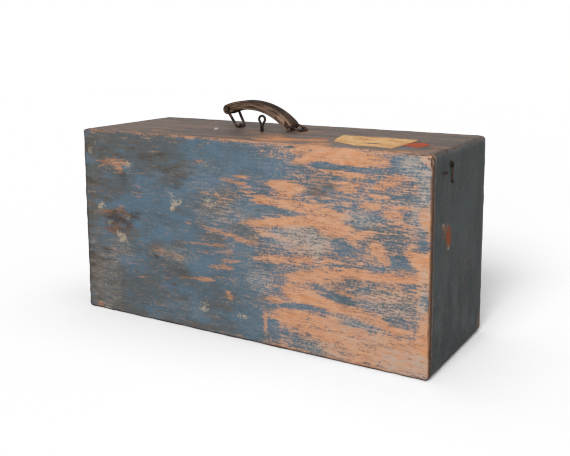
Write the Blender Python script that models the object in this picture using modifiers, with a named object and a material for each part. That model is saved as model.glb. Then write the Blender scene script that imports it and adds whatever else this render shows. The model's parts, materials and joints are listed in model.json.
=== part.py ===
"""Wooden suitcase: a nailed box of thin boards, sawn into a deep base and a shallow front lid.

Units are metres and +Z is up. The lid faces -Y, and the origin is at the middle of the underside.
The lid turns on two narrow butt hinges let into the seam at the floor, wire hooks hold it at both
ends, and a stitched leather grip hangs on two wire rings that turn in staples through the top.
"""

import math

import bmesh
import bpy
from mathutils import Vector

# Case
CASE_LENGTH = 0.600
CASE_DEPTH = 0.220
CASE_HEIGHT = 0.300
LID_DEPTH = 0.055
BOARD = 0.012
PANEL = 0.009
RABBET_LIP = 0.005
EDGE_ROUND = 0.0045
SEAM_GAP = 0.0006

# Clearances
FIT = 0.0003
CUT_OVER = 0.002

# Butt hinges
HINGE_INSET = 0.110
HINGE_LENGTH = 0.050
HINGE_Z = 0.0029
KNUCKLE_RADIUS = 0.0024
KNUCKLE_CLEAR = 0.0004
PIN_RADIUS = 0.0011
PIN_PROUD = 0.0005
LEAF = 0.0012
LEAF_GAP = 0.0002
LID_OPENING = math.radians(105)
OPENING_SPARE = math.radians(8)
RELIEF_RISE = 0.001
HINGE_SCREW_SPACING = 0.032
HINGE_SCREW_HEAD = 0.0019
HINGE_SCREW_SHANK = 0.0010
HINGE_SCREW_LENGTH = 0.010

# Handle
HANDLE_OFFSET = -0.0217
STAPLE_SPACING = 0.1178
RING_WIRE = 0.0036
LEFT_RING_LENGTH = 0.033
RIGHT_RING_LENGTH = 0.0266
RING_WIDTH = 0.031
RING_FOOT = 0.023
RING_CORNER = 0.003
LEFT_RING_LEAN = math.radians(120.6)
RIGHT_RING_LEAN = math.radians(162.9)
STAPLE_WIRE = 0.0026
STAPLE_CLEAR = 0.0004
GRIP_SIDE_CLEAR = 0.0023
GRIP_BEYOND = 0.0025
GRIP_BELOW = 0.0016
GRIP_RISE = 0.0175
GRIP_THICK = 0.0132
GRIP_END_THICK = 0.0150
GRIP_EDGE_ROUND = 0.0028
LOOP_CLEAR = 0.0006
LOOP_SLACK = 0.0027
LOOP_SLACK_RISE = 0.00125

# Lock eye
EYE_OFFSET = -0.0172
EYE_BEHIND_SEAM = 0.047
EYE_WIRE = 0.0029
EYE_RADIUS = 0.0054
EYE_CENTRE_RISE = 0.0195
EYE_LEG_GAP = 0.0004
CLENCH_LENGTH = 0.006
CLENCH_BEND = 0.002

# End hooks
HOOK_BEHIND_SEAM = 0.011
HOOK_BELOW_TOP = 0.021
HOOK_WIRE = 0.0024
HOOK_EYE_RADIUS = 0.0032
HOOK_REACH = 0.025
HOOK_BEND = 0.003
HOOK_TIP = 0.0045
HOOK_SCREW_SHANK = 0.0015
HOOK_SCREW_HEAD = 0.0033
HOOK_SCREW_DOME = 0.0018
HOOK_SCREW_DEPTH = 0.009
CATCH_WIRE = 0.0020
CATCH_SPAN = 0.0085
CATCH_CLEAR = 0.0005
CATCH_DEPTH = 0.009

# Facets
ROUND_STEPS = 20
BEND_STEPS = 4
ARCH_STEPS = 22
CAP_STEPS = 8
ROUND_SEGMENTS = 4

# Worked out from the sizes above
HALF_LENGTH = CASE_LENGTH / 2
FRONT_Y = -CASE_DEPTH / 2
BACK_Y = CASE_DEPTH / 2
SEAM_Y = FRONT_Y + LID_DEPTH
BOARD_TOP = CASE_HEIGHT
HINGE_X = HALF_LENGTH - HINGE_INSET
HANDLE_Y = (SEAM_Y + BACK_Y) / 2
RING_BAR_Z = BOARD_TOP + RING_WIRE / 2 + FIT
HOOK_X = HALF_LENGTH + FIT + HOOK_WIRE / 2
HOOK_Y = SEAM_Y + HOOK_BEHIND_SEAM
HOOK_Z = BOARD_TOP - HOOK_BELOW_TOP
CATCH_Y = HOOK_Y - HOOK_REACH
CATCH_Z = HOOK_Z - HOOK_EYE_RADIUS - HOOK_BEND - HOOK_TIP / 2

SIDES = {"left": -1, "right": 1}
PARTS = "wooden_suitcase"
CUTTERS = "suitcase_cutters"


def clear_scene():
    for obj in list(bpy.data.objects):
        bpy.data.objects.remove(obj, do_unlink=True)


def collection(name):
    found = bpy.data.collections.get(name)
    if found is None:
        found = bpy.data.collections.new(name)
        bpy.context.scene.collection.children.link(found)
    return found


def finish(name, colour, roughness, metallic=0.0):
    """A material named for its surface."""
    material = bpy.data.materials.new(name)
    material.use_nodes = True
    shader = material.node_tree.nodes["Principled BSDF"]
    shader.inputs["Base Color"].default_value = (*colour, 1.0)
    shader.inputs["Roughness"].default_value = roughness
    shader.inputs["Metallic"].default_value = metallic
    material.diffuse_color = (*colour, 1.0)
    return material


def add_object(name, mesh, location=(0, 0, 0), rotation=(0, 0, 0), parent=None, where=PARTS):
    """Links a mesh at a world place. Parents are unturned, so only their place is taken off."""
    obj = bpy.data.objects.new(name, mesh)
    collection(where).objects.link(obj)
    obj.parent = parent
    obj.location = Vector(location) - (world_place(parent) if parent else Vector())
    obj.rotation_euler = rotation
    if where == CUTTERS:
        obj.hide_render = True
        obj.display_type = "WIRE"
    return obj


def world_place(empty):
    place = Vector(empty.location)
    return place + world_place(empty.parent) if empty.parent else place


def add_axis(name, location, parent=None):
    """An empty on a joint's axis, which the moving pieces hang from."""
    return add_object(name, None, location, parent=parent)


def mesh_from(bm, name, smooth=False):
    mesh = bpy.data.meshes.new(name)
    bm.to_mesh(mesh)
    bm.free()
    if smooth:
        mesh.shade_smooth()
        mesh.set_sharp_from_angle(angle=math.radians(35))
    return mesh


def box(name, low, high, parent=None, where=PARTS, rounded=None):
    """A box between two corners; rounded(middle, direction) picks the edges to round."""
    low, high = Vector(low), Vector(high)
    bm = bmesh.new()
    bmesh.ops.create_cube(bm, size=1.0)
    bmesh.ops.scale(bm, vec=high - low, verts=bm.verts)
    if rounded:
        weights = bm.edges.layers.float.new("bevel_weight_edge")
        for edge in bm.edges:
            middle = (edge.verts[0].co + edge.verts[1].co) / 2
            direction = (edge.verts[1].co - edge.verts[0].co).normalized()
            edge[weights] = 1.0 if rounded(middle, direction) else 0.0
    obj = add_object(name, mesh_from(bm, name), (low + high) / 2, parent=parent, where=where)
    if rounded:
        bevel = obj.modifiers.new("rounded_edges", "BEVEL")
        bevel.limit_method = "WEIGHT"
        bevel.width = EDGE_ROUND
        bevel.segments = ROUND_SEGMENTS
    return obj


def cylinder(name, start, end, radius, parent=None, where=PARTS):
    """A round bar between two points."""
    start, end = Vector(start), Vector(end)
    bm = bmesh.new()
    bmesh.ops.create_cone(
        bm, cap_ends=True, segments=ROUND_STEPS, radius1=radius, radius2=radius, depth=(end - start).length
    )
    turn = (end - start).to_track_quat("Z", "Y").to_euler()
    return add_object(name, mesh_from(bm, name, True), (start + end) / 2, turn, parent, where)


def turned(name, profile, base, axis, parent=None, where=PARTS):
    """A profile of (radius, height) points, listed top to bottom, turned about an axis."""
    bm = bmesh.new()
    verts = [bm.verts.new((radius, 0.0, height)) for radius, height in profile]
    for upper, lower in zip(verts, verts[1:]):
        bm.edges.new((upper, lower))
    turn = Vector(axis).to_track_quat("Z", "Y").to_euler()
    obj = add_object(name, mesh_from(bm, name), base, turn, parent, where)
    screw = obj.modifiers.new("turned", "SCREW")
    screw.axis = "Z"
    screw.steps = ROUND_STEPS
    screw.render_steps = ROUND_STEPS
    screw.use_merge_vertices = True
    screw.merge_threshold = 0.00001
    screw.use_smooth_shade = False
    return obj


def mesh_of_curve(curve, name):
    """The welded mesh of a curve, whose caps are loose until then."""
    holder = bpy.data.objects.new(name, curve)
    collection(PARTS).objects.link(holder)
    graph = bpy.context.evaluated_depsgraph_get()
    mesh = bpy.data.meshes.new_from_object(holder.evaluated_get(graph))
    bpy.data.objects.remove(holder)
    bpy.data.curves.remove(curve)
    bm = bmesh.new()
    bm.from_mesh(mesh)
    bpy.data.meshes.remove(mesh)
    bmesh.ops.remove_doubles(bm, verts=bm.verts, dist=0.00001)
    return bm


def add_spline(curve, points, closed):
    spline = curve.splines.new("POLY")
    spline.points.add(len(points) - 1)
    for target, point in zip(spline.points, points):
        target.co = (*point, 1.0)
    spline.use_cyclic_u = closed


def wire(name, points, radius, location, rotation=(0, 0, 0), parent=None, closed=False):
    """A bent wire through local points."""
    curve = bpy.data.curves.new(name, "CURVE")
    curve.dimensions = "3D"
    curve.bevel_depth = radius
    curve.bevel_resolution = 2
    curve.use_fill_caps = True
    add_spline(curve, points, closed)
    return add_object(name, mesh_from(mesh_of_curve(curve, name), name, True), location, rotation, parent)


def arc(centre, radius, first, last, steps):
    """Points (a, b) on an arc in a plane, with its angles in radians."""
    angles = [first + (last - first) * step / steps for step in range(steps + 1)]
    return [(centre[0] + radius * math.cos(a), centre[1] + radius * math.sin(a)) for a in angles]


def in_xz(points):
    return [(a, 0.0, b) for a, b in points]


def in_yz(points):
    return [(0.0, a, b) for a, b in points]


def boolean(obj, other, operation="DIFFERENCE"):
    modifier = obj.modifiers.new(other.name, "BOOLEAN")
    modifier.operation = operation
    modifier.object = other


def paint(objects, material):
    for obj in objects:
        obj.data.materials.append(material)


# The boards and panels


def outer_panel(name, outer_y, inner_y, parent):
    """A panel nailed over the frame, rounded along its outer face and at its corners."""
    outward = math.copysign(1, outer_y)

    def worn(middle, direction):
        return abs(direction.y) > 0.5 or middle.y * outward > 0

    low = (-HALF_LENGTH, min(outer_y, inner_y), 0.0)
    high = (HALF_LENGTH, max(outer_y, inner_y), CASE_HEIGHT)
    return box(name, low, high, parent, rounded=worn)


def end_board(name, side, front, back, parent):
    """An upright end board, rabbeted at both ends of its height for the long boards."""
    inner = side * (HALF_LENGTH - BOARD)
    outer = side * HALF_LENGTH

    def worn(middle, direction):
        return abs(direction.y) > 0.5 and middle.x * side > 0

    low = (min(inner, outer), front, 0.0)
    high = (max(inner, outer), back, CASE_HEIGHT)
    board = box(name, low, high, parent, rounded=worn)
    shoulder = BOARD + FIT
    cut_in = side * (HALF_LENGTH - BOARD - CUT_OVER)
    cut_out = side * (HALF_LENGTH - RABBET_LIP)
    spans = {"lower": (-CUT_OVER, shoulder), "upper": (CASE_HEIGHT - shoulder, CASE_HEIGHT + CUT_OVER)}
    for place, (bottom, top) in spans.items():
        low = (min(cut_in, cut_out), front - CUT_OVER, bottom)
        high = (max(cut_in, cut_out), back + CUT_OVER, top)
        boolean(board, box(f"{name}_{place}_rabbet", low, high, where=CUTTERS))
    return board


def frame_boards(prefix, front, back, parent=None):
    """The four boards of one half of the case."""
    reach = HALF_LENGTH - RABBET_LIP - FIT
    boards = {
        "top": box(
            f"{prefix}_top_board", (-reach, front, CASE_HEIGHT - BOARD), (reach, back, CASE_HEIGHT), parent
        ),
        "bottom": box(f"{prefix}_bottom_board", (-reach, front, 0.0), (reach, back, BOARD), parent),
    }
    for side_name, side in SIDES.items():
        boards[side_name] = end_board(f"{prefix}_{side_name}_board", side, front, back, parent)
    return boards


def relieve_lid(boards):
    """Cuts the lid's lower seam edge back, so that it clears the base as it opens."""
    depth = HINGE_Z * math.tan((LID_OPENING + OPENING_SPARE) / 2)
    low = (-HALF_LENGTH - CUT_OVER, SEAM_Y - depth, -CUT_OVER)
    high = (HALF_LENGTH + CUT_OVER, SEAM_Y + CUT_OVER, HINGE_Z + RELIEF_RISE)
    cutter = box("lid_seam_relief", low, high, where=CUTTERS)
    for name in ("bottom", "left", "right"):
        boolean(boards[name], cutter)


# The butt hinges


def seam_box(name, x, half, near, far, bottom, top, side, where=CUTTERS, parent=None):
    """A box that starts near the seam and runs into the board on one side of it."""
    ends = (SEAM_Y + side * near, SEAM_Y + side * far)
    return box(name, (x - half, min(ends), bottom), (x + half, max(ends), top), parent, where)


def knuckle_spans(x, side):
    """Where a leaf's knuckles lie: the base has the outer two, the lid the middle one."""
    third = HINGE_LENGTH / 3
    starts = (0, 2) if side > 0 else (1,)
    first = x - HINGE_LENGTH / 2
    return [(first + n * third + FIT / 2, first + (n + 1) * third - FIT / 2) for n in starts]


def hinge_leaf(name, x, side, parent):
    """A leaf plate with its knuckles rolled round the pin."""
    plate_bottom = HINGE_Z + KNUCKLE_RADIUS + KNUCKLE_CLEAR
    half = HINGE_LENGTH / 2
    face = LEAF_GAP + LEAF
    leaf = seam_box(name, x, half, LEAF_GAP, face, plate_bottom, BOARD - FIT, side, PARTS, parent)
    root = HINGE_Z + (PIN_RADIUS + FIT + KNUCKLE_RADIUS) / 2
    for number, (start, end) in enumerate(knuckle_spans(x, side), 1):
        middle, reach = (start + end) / 2, (end - start) / 2
        tab_top = plate_bottom + LEAF
        tab = seam_box(f"{name}_tab_{number}", middle, reach, LEAF_GAP, face, root, tab_top, side)
        ends = ((start, SEAM_Y, HINGE_Z), (end, SEAM_Y, HINGE_Z))
        knuckle = cylinder(f"{name}_knuckle_{number}", *ends, KNUCKLE_RADIUS, where=CUTTERS)
        boolean(leaf, tab, "UNION")
        boolean(leaf, knuckle, "UNION")
    reach = half + CUT_OVER
    ends = ((x - reach, SEAM_Y, HINGE_Z), (x + reach, SEAM_Y, HINGE_Z))
    boolean(leaf, cylinder(f"{name}_bore", *ends, PIN_RADIUS + FIT, where=CUTTERS))
    return leaf


def countersunk_profile(spare, proud):
    """A flat-headed screw's profile, grown by a clearance and standing proud by a length."""
    head = HINGE_SCREW_HEAD + spare
    shank = HINGE_SCREW_SHANK + spare
    cone = -(HINGE_SCREW_HEAD - HINGE_SCREW_SHANK)
    tip = -HINGE_SCREW_LENGTH - spare
    outline = [(head, 0.0), (shank, cone), (shank, tip + shank), (0.0, tip)]
    top = [(0.0, proud), (head, proud)] if proud else [(0.0, 0.0)]
    return top + outline


def let_in(board, name, x, side):
    """Cuts a board for a leaf's plate and for the knuckles beside it."""
    sunk = LEAF_GAP + LEAF + FIT
    half = HINGE_LENGTH / 2
    plate = seam_box(f"{name}_mortise", x, half + FIT, -CUT_OVER, sunk, HINGE_Z, BOARD + CUT_OVER, side)
    room = KNUCKLE_RADIUS + KNUCKLE_CLEAR
    reach = half + PIN_PROUD + FIT
    notch = seam_box(f"{name}_notch", x, reach, -CUT_OVER, room, -CUT_OVER, HINGE_Z + room, side)
    boolean(board, plate)
    boolean(board, notch)


def hinge(side_name, place, base_board, lid_board, lid_axis):
    """A butt hinge in the seam: two leaves, a pin and four screws."""
    x = place * HINGE_X
    made = []
    halves = {"base": (1, base_board, None), "lid": (-1, lid_board, lid_axis)}
    for half_name, (side, board, parent) in halves.items():
        name = f"{side_name}_hinge_{half_name}"
        leaf = hinge_leaf(f"{name}_leaf", x, side, parent)
        let_in(board, name, x, side)
        made.append(leaf)
        height = (HINGE_Z + KNUCKLE_RADIUS + KNUCKLE_CLEAR + BOARD - FIT) / 2
        for number, step in enumerate((-0.5, 0.5), 1):
            head = (x + step * HINGE_SCREW_SPACING, SEAM_Y + side * LEAF_GAP, height)
            outward = (0, -side, 0)
            screw_name = f"{name}_screw_{number}"
            made.append(turned(screw_name, countersunk_profile(0.0, 0.0), head, outward, parent))
            bore = turned(
                f"{screw_name}_hole", countersunk_profile(FIT, CUT_OVER), head, outward, where=CUTTERS
            )
            boolean(leaf, bore)
            boolean(board, bore)
    reach = HINGE_LENGTH / 2 + PIN_PROUD
    ends = ((x - reach, SEAM_Y, HINGE_Z), (x + reach, SEAM_Y, HINGE_Z))
    made.append(cylinder(f"{side_name}_hinge_pin", *ends, PIN_RADIUS))
    return made


# The handle


def ring_points(length):
    """A loop of wire, wider at the grip than at its foot; its pivot bar lies along Y at X 0."""
    slant = math.atan2((RING_WIDTH - RING_FOOT) / 2, length)
    turn = math.pi / 2 + slant
    far_edge = RING_WIDTH / 2 - RING_CORNER * (1 + math.sin(slant)) / math.cos(slant)
    near_edge = RING_FOOT / 2 - RING_CORNER * (1 - math.sin(slant)) / math.cos(slant)
    half = arc((length - RING_CORNER, far_edge), RING_CORNER, 0.0, turn, BEND_STEPS)
    half += arc((RING_CORNER, near_edge), RING_CORNER, turn, math.pi, BEND_STEPS)
    other = [(a, -b) for a, b in reversed(half)]
    return [(a, b, 0.0) for a, b in half + other]


def ring_end(staple_x, length, lean):
    """Where a leaning ring's far bar is."""
    x = staple_x + length * math.cos(lean)
    return Vector((x, HANDLE_Y, RING_BAR_Z + length * math.sin(lean)))


def clenched_legs(spread, wire_width, under):
    """Two legs through the top board, bent over outwards below it, without what joins them."""
    below = under - BOARD - FIT - wire_width / 2
    bend = (spread + CLENCH_BEND, below + CLENCH_BEND)
    tip = [(spread + CLENCH_BEND + CLENCH_LENGTH, below)]
    right = tip + arc(bend, CLENCH_BEND, 1.5 * math.pi, math.pi, BEND_STEPS)
    left = [(-a, b) for a, b in reversed(right)]
    return right, left


def handle_staple(name, x):
    """A staple round a ring's pivot bar, its legs through the top board and bent over."""
    crown = RING_WIRE / 2 + STAPLE_CLEAR + STAPLE_WIRE / 2
    right, left = clenched_legs(crown, STAPLE_WIRE, BOARD_TOP - RING_BAR_Z)
    path = right + arc((0.0, 0.0), crown, 0.0, math.pi, 2 * BEND_STEPS) + left
    return wire(name, in_xz(path), STAPLE_WIRE / 2, (x, HANDLE_Y, RING_BAR_Z))


def leg_holes(board, name, x, y, spread, radius):
    for place in sorted({-spread, spread}):
        ends = ((x + place, y, BOARD_TOP - BOARD - CUT_OVER), (x + place, y, BOARD_TOP + CUT_OVER))
        boolean(board, cylinder(f"{name}_hole_{1 if place < 0 else 2}", *ends, radius, where=CUTTERS))


def grip_outline(chord):
    """The side view of the grip on its chord: an arch with swollen ends that reach past the rings."""
    span = chord + 2 * GRIP_BEYOND
    radius = (span * span / 4 + GRIP_RISE * GRIP_RISE) / (2 * GRIP_RISE)
    half_angle = math.asin(span / 2 / radius)
    centre = (chord / 2, GRIP_RISE - GRIP_BELOW - radius)
    outer, inner = [], []
    for step in range(ARCH_STEPS + 1):
        share = step / ARCH_STEPS
        angle = math.pi / 2 + half_angle * (1 - 2 * share)
        swell = (GRIP_THICK - GRIP_END_THICK) * math.sin(math.pi * share)
        half = (GRIP_END_THICK + swell) / 2
        for side, reach in ((outer, radius + half), (inner, radius - half)):
            side.append((centre[0] + reach * math.cos(angle), centre[1] + reach * math.sin(angle)))
    slope = math.pi / 2 - half_angle
    right_end, left_end = (chord + GRIP_BEYOND, -GRIP_BELOW), (-GRIP_BEYOND, -GRIP_BELOW)
    right_cap = arc(right_end, GRIP_END_THICK / 2, slope, slope - math.pi, CAP_STEPS)
    left_cap = arc(left_end, GRIP_END_THICK / 2, 2 * math.pi - slope, math.pi - slope, CAP_STEPS)
    return outer + right_cap[1:-1] + inner[::-1] + left_cap[1:-1]


def loop_holes(chord):
    """The left loop turns on its ring; the right one is slack, as a worn leather loop is."""
    radius = RING_WIRE / 2 + LOOP_CLEAR
    left = arc((0.0, 0.0), radius, 0.0, 2 * math.pi, ROUND_STEPS)[:-1]
    inner_end = (chord - LOOP_SLACK, LOOP_SLACK_RISE)
    slope = math.atan2(-LOOP_SLACK_RISE, LOOP_SLACK)
    right = arc((chord, 0.0), radius, slope - math.pi / 2, slope + math.pi / 2, CAP_STEPS)
    right += arc(inner_end, radius, slope + math.pi / 2, slope + 1.5 * math.pi, CAP_STEPS)
    return left, right


def handle_grip(name, left_end, right_end, parent):
    """The arched leather grip, with a loop at each end for its ring."""
    run = right_end - left_end
    chord = run.length
    tilt = math.atan2(run.z, run.x)
    width = RING_WIDTH - RING_WIRE - 2 * GRIP_SIDE_CLEAR
    curve = bpy.data.curves.new(name, "CURVE")
    curve.dimensions = "2D"
    curve.fill_mode = "BOTH"
    curve.extrude = width / 2
    for outline in (grip_outline(chord), *loop_holes(chord)):
        add_spline(curve, [(a, b, 0.0) for a, b in outline], True)
    mesh = mesh_from(mesh_of_curve(curve, name), name, True)
    grip = add_object(name, mesh, left_end, (math.pi / 2, -tilt, 0.0), parent)
    bevel = grip.modifiers.new("pressed_edges", "BEVEL")
    bevel.limit_method = "ANGLE"
    bevel.angle_limit = math.radians(60)
    bevel.width = GRIP_EDGE_ROUND
    bevel.segments = ROUND_SEGMENTS - 1
    return grip


def handle(top_board):
    """Grip, rings and staples. The rings lean to the left, as the handle lies when let go."""
    pieces = {}
    ends = {}
    axes = {}
    rings = {"left": (LEFT_RING_LENGTH, LEFT_RING_LEAN), "right": (RIGHT_RING_LENGTH, RIGHT_RING_LEAN)}
    crown = RING_WIRE / 2 + STAPLE_CLEAR + STAPLE_WIRE / 2
    for side_name, side in SIDES.items():
        x = HANDLE_OFFSET + side * STAPLE_SPACING / 2
        pivot = (x, HANDLE_Y, RING_BAR_Z)
        axes[side_name] = add_axis(f"{side_name}_ring_axis", pivot)
        length, lean = rings[side_name]
        name = f"handle_{side_name}_ring"
        turn = (0.0, -lean, 0.0)
        ring = wire(name, ring_points(length), RING_WIRE / 2, pivot, turn, axes[side_name], True)
        staple = handle_staple(f"handle_{side_name}_staple", x)
        leg_holes(top_board, staple.name, x, HANDLE_Y, crown, STAPLE_WIRE / 2 + FIT)
        pieces[ring.name], pieces[staple.name] = ring, staple
        ends[side_name] = ring_end(x, length, lean)
    grip_axis = add_axis("grip_axis", ends["left"], axes["left"])
    grip = handle_grip("handle_grip", ends["left"], ends["right"], grip_axis)
    return list(pieces.values()), grip


# The lock eye


def lock_eye(top_board):
    """A split pin driven through the top: a teardrop eye on two legs that are bent over inside."""
    spread = (EYE_WIRE + EYE_LEG_GAP) / 2
    y = SEAM_Y + EYE_BEHIND_SEAM
    right, left = clenched_legs(spread, EYE_WIRE, 0.0)
    throat = EYE_CENTRE_RISE - 1.5 * EYE_RADIUS
    waist = [(spread, throat - EYE_WIRE), (spread * 1.15, throat)]
    open_half = math.radians(42)
    first = -math.pi / 2 + open_half
    loop = arc((0.0, EYE_CENTRE_RISE), EYE_RADIUS, first, math.pi - first, 4 * BEND_STEPS)
    path = right + waist + loop + [(-a, b) for a, b in reversed(waist)] + left
    eye = wire("lock_eye", in_xz(path), EYE_WIRE / 2, (EYE_OFFSET, y, BOARD_TOP))
    leg_holes(top_board, "lock_eye", EYE_OFFSET, y, 0.0, spread + EYE_WIRE / 2 + FIT)
    return eye


# The end hooks


def hook_points():
    """A wire hook hanging from its eye: shank down the back of the eye, tip bent to the back."""
    bend = (HOOK_EYE_RADIUS + HOOK_BEND, -HOOK_REACH + HOOK_BEND)
    tip = [(HOOK_EYE_RADIUS + HOOK_BEND + HOOK_TIP, -HOOK_REACH)]
    foot = arc(bend, HOOK_BEND, 1.5 * math.pi, math.pi, BEND_STEPS)
    eye = arc((0.0, 0.0), HOOK_EYE_RADIUS, 0.0, 1.5 * math.pi, 3 * BEND_STEPS)
    return in_yz(tip + foot + eye)


def hook_screw_profile(spare, proud):
    """A round-headed screw, its height measured from the face of the board."""
    under_head = 2 * FIT + HOOK_WIRE
    shank = HOOK_SCREW_SHANK + spare
    tip = [(shank, -HOOK_SCREW_DEPTH + shank - spare), (0.0, -HOOK_SCREW_DEPTH - spare)]
    if proud:
        return [(0.0, proud), (shank, proud)] + tip
    dome = arc((0.0, 0.0), 1.0, math.pi / 2, 0.0, BEND_STEPS)
    head = [(HOOK_SCREW_HEAD * a, under_head + HOOK_SCREW_DOME * b) for a, b in dome]
    return head + [(shank, under_head)] + tip


def catch_points():
    """A staple that stands off the board far enough for the hook's tip; X points outwards."""
    stand = 2 * FIT + HOOK_WIRE + CATCH_CLEAR + CATCH_WIRE / 2
    corner = CATCH_WIRE
    half = CATCH_SPAN / 2
    right = arc((stand - corner, half - corner), corner, math.pi / 2, 0.0, BEND_STEPS)
    left = [(a, -b) for a, b in reversed(right)]
    path = [(-CATCH_DEPTH, half)] + right + left + [(-CATCH_DEPTH, -half)]
    return [(a, b, 0.0) for a, b in path]


def end_hook(side_name, side, base_board, lid_board, lid_axis):
    """A hook on its screw in the base, and the catch in the lid that it drops into."""
    face = side * HALF_LENGTH
    outward = (side, 0, 0)
    pivot = (side * HOOK_X, HOOK_Y, HOOK_Z)
    axis = add_axis(f"{side_name}_hook_axis", pivot)
    hook = wire(f"{side_name}_hook", hook_points(), HOOK_WIRE / 2, pivot, parent=axis)
    seat = (face, HOOK_Y, HOOK_Z)
    screw = turned(f"{side_name}_hook_screw", hook_screw_profile(0.0, 0.0), seat, outward)
    bore = turned(f"{side_name}_hook_bore", hook_screw_profile(FIT, CUT_OVER), seat, outward, where=CUTTERS)
    boolean(base_board, bore)
    turn = (0.0, 0.0, 0.0 if side > 0 else math.pi)
    catch = wire(
        f"{side_name}_hook_catch", catch_points(), CATCH_WIRE / 2, (face, CATCH_Y, CATCH_Z), turn, lid_axis
    )
    for number, place in enumerate((-0.5, 0.5), 1):
        y = CATCH_Y + place * CATCH_SPAN
        ends = ((face + side * CUT_OVER, y, CATCH_Z), (face - side * (CATCH_DEPTH + FIT), y, CATCH_Z))
        hole = cylinder(f"{side_name}_catch_hole_{number}", *ends, CATCH_WIRE / 2 + FIT, where=CUTTERS)
        boolean(lid_board, hole)
    return [hook, screw, catch]


def build():
    clear_scene()
    lid_axis = add_axis("lid_axis", (0.0, SEAM_Y, HINGE_Z))
    half_gap = SEAM_GAP / 2
    base = frame_boards("base", SEAM_Y + half_gap, BACK_Y - PANEL - FIT)
    lid = frame_boards("lid", FRONT_Y + PANEL + FIT, SEAM_Y - half_gap, lid_axis)
    panels = [
        outer_panel("back_panel", BACK_Y, BACK_Y - PANEL, None),
        outer_panel("front_panel", FRONT_Y, FRONT_Y + PANEL, lid_axis),
    ]
    relieve_lid(lid)
    iron = []
    for side_name, side in SIDES.items():
        iron += hinge(side_name, side, base["bottom"], lid["bottom"], lid_axis)
        iron += end_hook(side_name, side, base[side_name], lid[side_name], lid_axis)
    rings_and_staples, grip = handle(base["top"])
    iron += rings_and_staples + [lock_eye(base["top"])]
    boards = panels + list(base.values()) + list(lid.values())
    paint(boards, finish("worn_blue_paint", (0.075, 0.135, 0.2), 0.55))
    paint(iron, finish("rusted_iron", (0.05, 0.035, 0.028), 0.6, 0.8))
    paint([grip], finish("brown_leather", (0.12, 0.075, 0.05), 0.6))


build()
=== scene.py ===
"""Looks of a worn wooden suitcase, laid out as a Blender add-on and run as a script.

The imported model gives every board, wire and hinge its place. This file gives the boards their worn
paint, makes the leather grip, the ironwork, the nails, the stitches and the torn paper, and sets the stage.
"""

import json
import math

import bmesh
import bpy
import numpy as np
from mathutils import Matrix, Vector, noise


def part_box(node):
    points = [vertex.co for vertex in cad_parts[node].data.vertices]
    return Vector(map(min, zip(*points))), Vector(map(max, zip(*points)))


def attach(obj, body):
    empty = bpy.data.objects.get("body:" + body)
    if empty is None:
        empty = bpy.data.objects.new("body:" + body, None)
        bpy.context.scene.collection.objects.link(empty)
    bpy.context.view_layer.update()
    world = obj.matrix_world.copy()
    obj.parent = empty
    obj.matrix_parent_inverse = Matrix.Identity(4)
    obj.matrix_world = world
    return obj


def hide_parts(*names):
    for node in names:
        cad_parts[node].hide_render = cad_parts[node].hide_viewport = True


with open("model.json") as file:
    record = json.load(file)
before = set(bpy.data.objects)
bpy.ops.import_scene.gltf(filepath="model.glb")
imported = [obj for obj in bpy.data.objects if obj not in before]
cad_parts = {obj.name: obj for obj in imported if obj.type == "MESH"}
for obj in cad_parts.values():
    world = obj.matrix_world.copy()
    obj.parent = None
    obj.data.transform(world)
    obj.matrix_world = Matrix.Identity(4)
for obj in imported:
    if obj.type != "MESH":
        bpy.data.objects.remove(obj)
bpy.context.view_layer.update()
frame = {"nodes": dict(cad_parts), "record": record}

bl_info = {
    "name": "Wooden Suitcase",
    "version": (1, 0, 0),
    "blender": (4, 5, 0),
    "location": "3D View > Sidebar > Suitcase",
    "description": "Worn paint, leather grip, ironwork and paper for a wooden suitcase",
    "category": "Object",
}

MM = 0.001

# Settings that many nodes share, and the axes that grain runs along
SOFT = {"interpolation_type": "SMOOTHSTEP"}
TIMES = {"operation": "MULTIPLY"}
TIMES_PLUS = {"operation": "MULTIPLY_ADD"}
ALONG_X, ALONG_Z = 0, 2

# Distances within which points are merged and cuts snap to them
MERGE = 1e-6
MERGE_FINE = 1e-7

# Case, as packed: half its length and depth, its height, and where the lid meets the base
HALF_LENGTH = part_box("front_panel")[1].x
HALF_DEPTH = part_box("back_panel")[1].y
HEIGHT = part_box("front_panel")[1].z
SEAM_Y = (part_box("lid_top_board")[1].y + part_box("base_top_board")[0].y) / 2

# The boards' thickness, the sides' signs, and each node's body
BOARD = 0.012
SIDES = {"left": -1, "right": 1}
BODY_OF = {node: body for body, nodes in frame["record"]["behaviour"]["bodies"].items() for node in nodes}

# Handle, as packed: where its staples stand, how its rings lie, and the arch of its grip
HANDLE_Y = 0.0275
STAPLE_X = {"left": -0.0806, "right": 0.0372}
LEANS = {"left": math.radians(120.6), "right": math.radians(162.9)}
BAR_Z = 0.3021
RING_WIRE = 0.0036
RING_LENGTH = {"left": 0.033, "right": 0.0266}
RING_WIDTH = 0.031
RING_FOOT = 0.023
RING_CORNER = 0.003
STAPLE_WIRE = 0.0026
GRIP_BEYOND = 0.0025
GRIP_BELOW = 0.0016
GRIP_RISE = 0.0175
GRIP_THICK = 0.0132
GRIP_END_THICK = 0.0150
GRIP_WIDTH = 0.0228
LOOP_RADIUS = 0.0024
LOOP_SLACK = {"left": (0.0005, 0.0003), "right": (-0.0027, 0.00125)}

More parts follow.
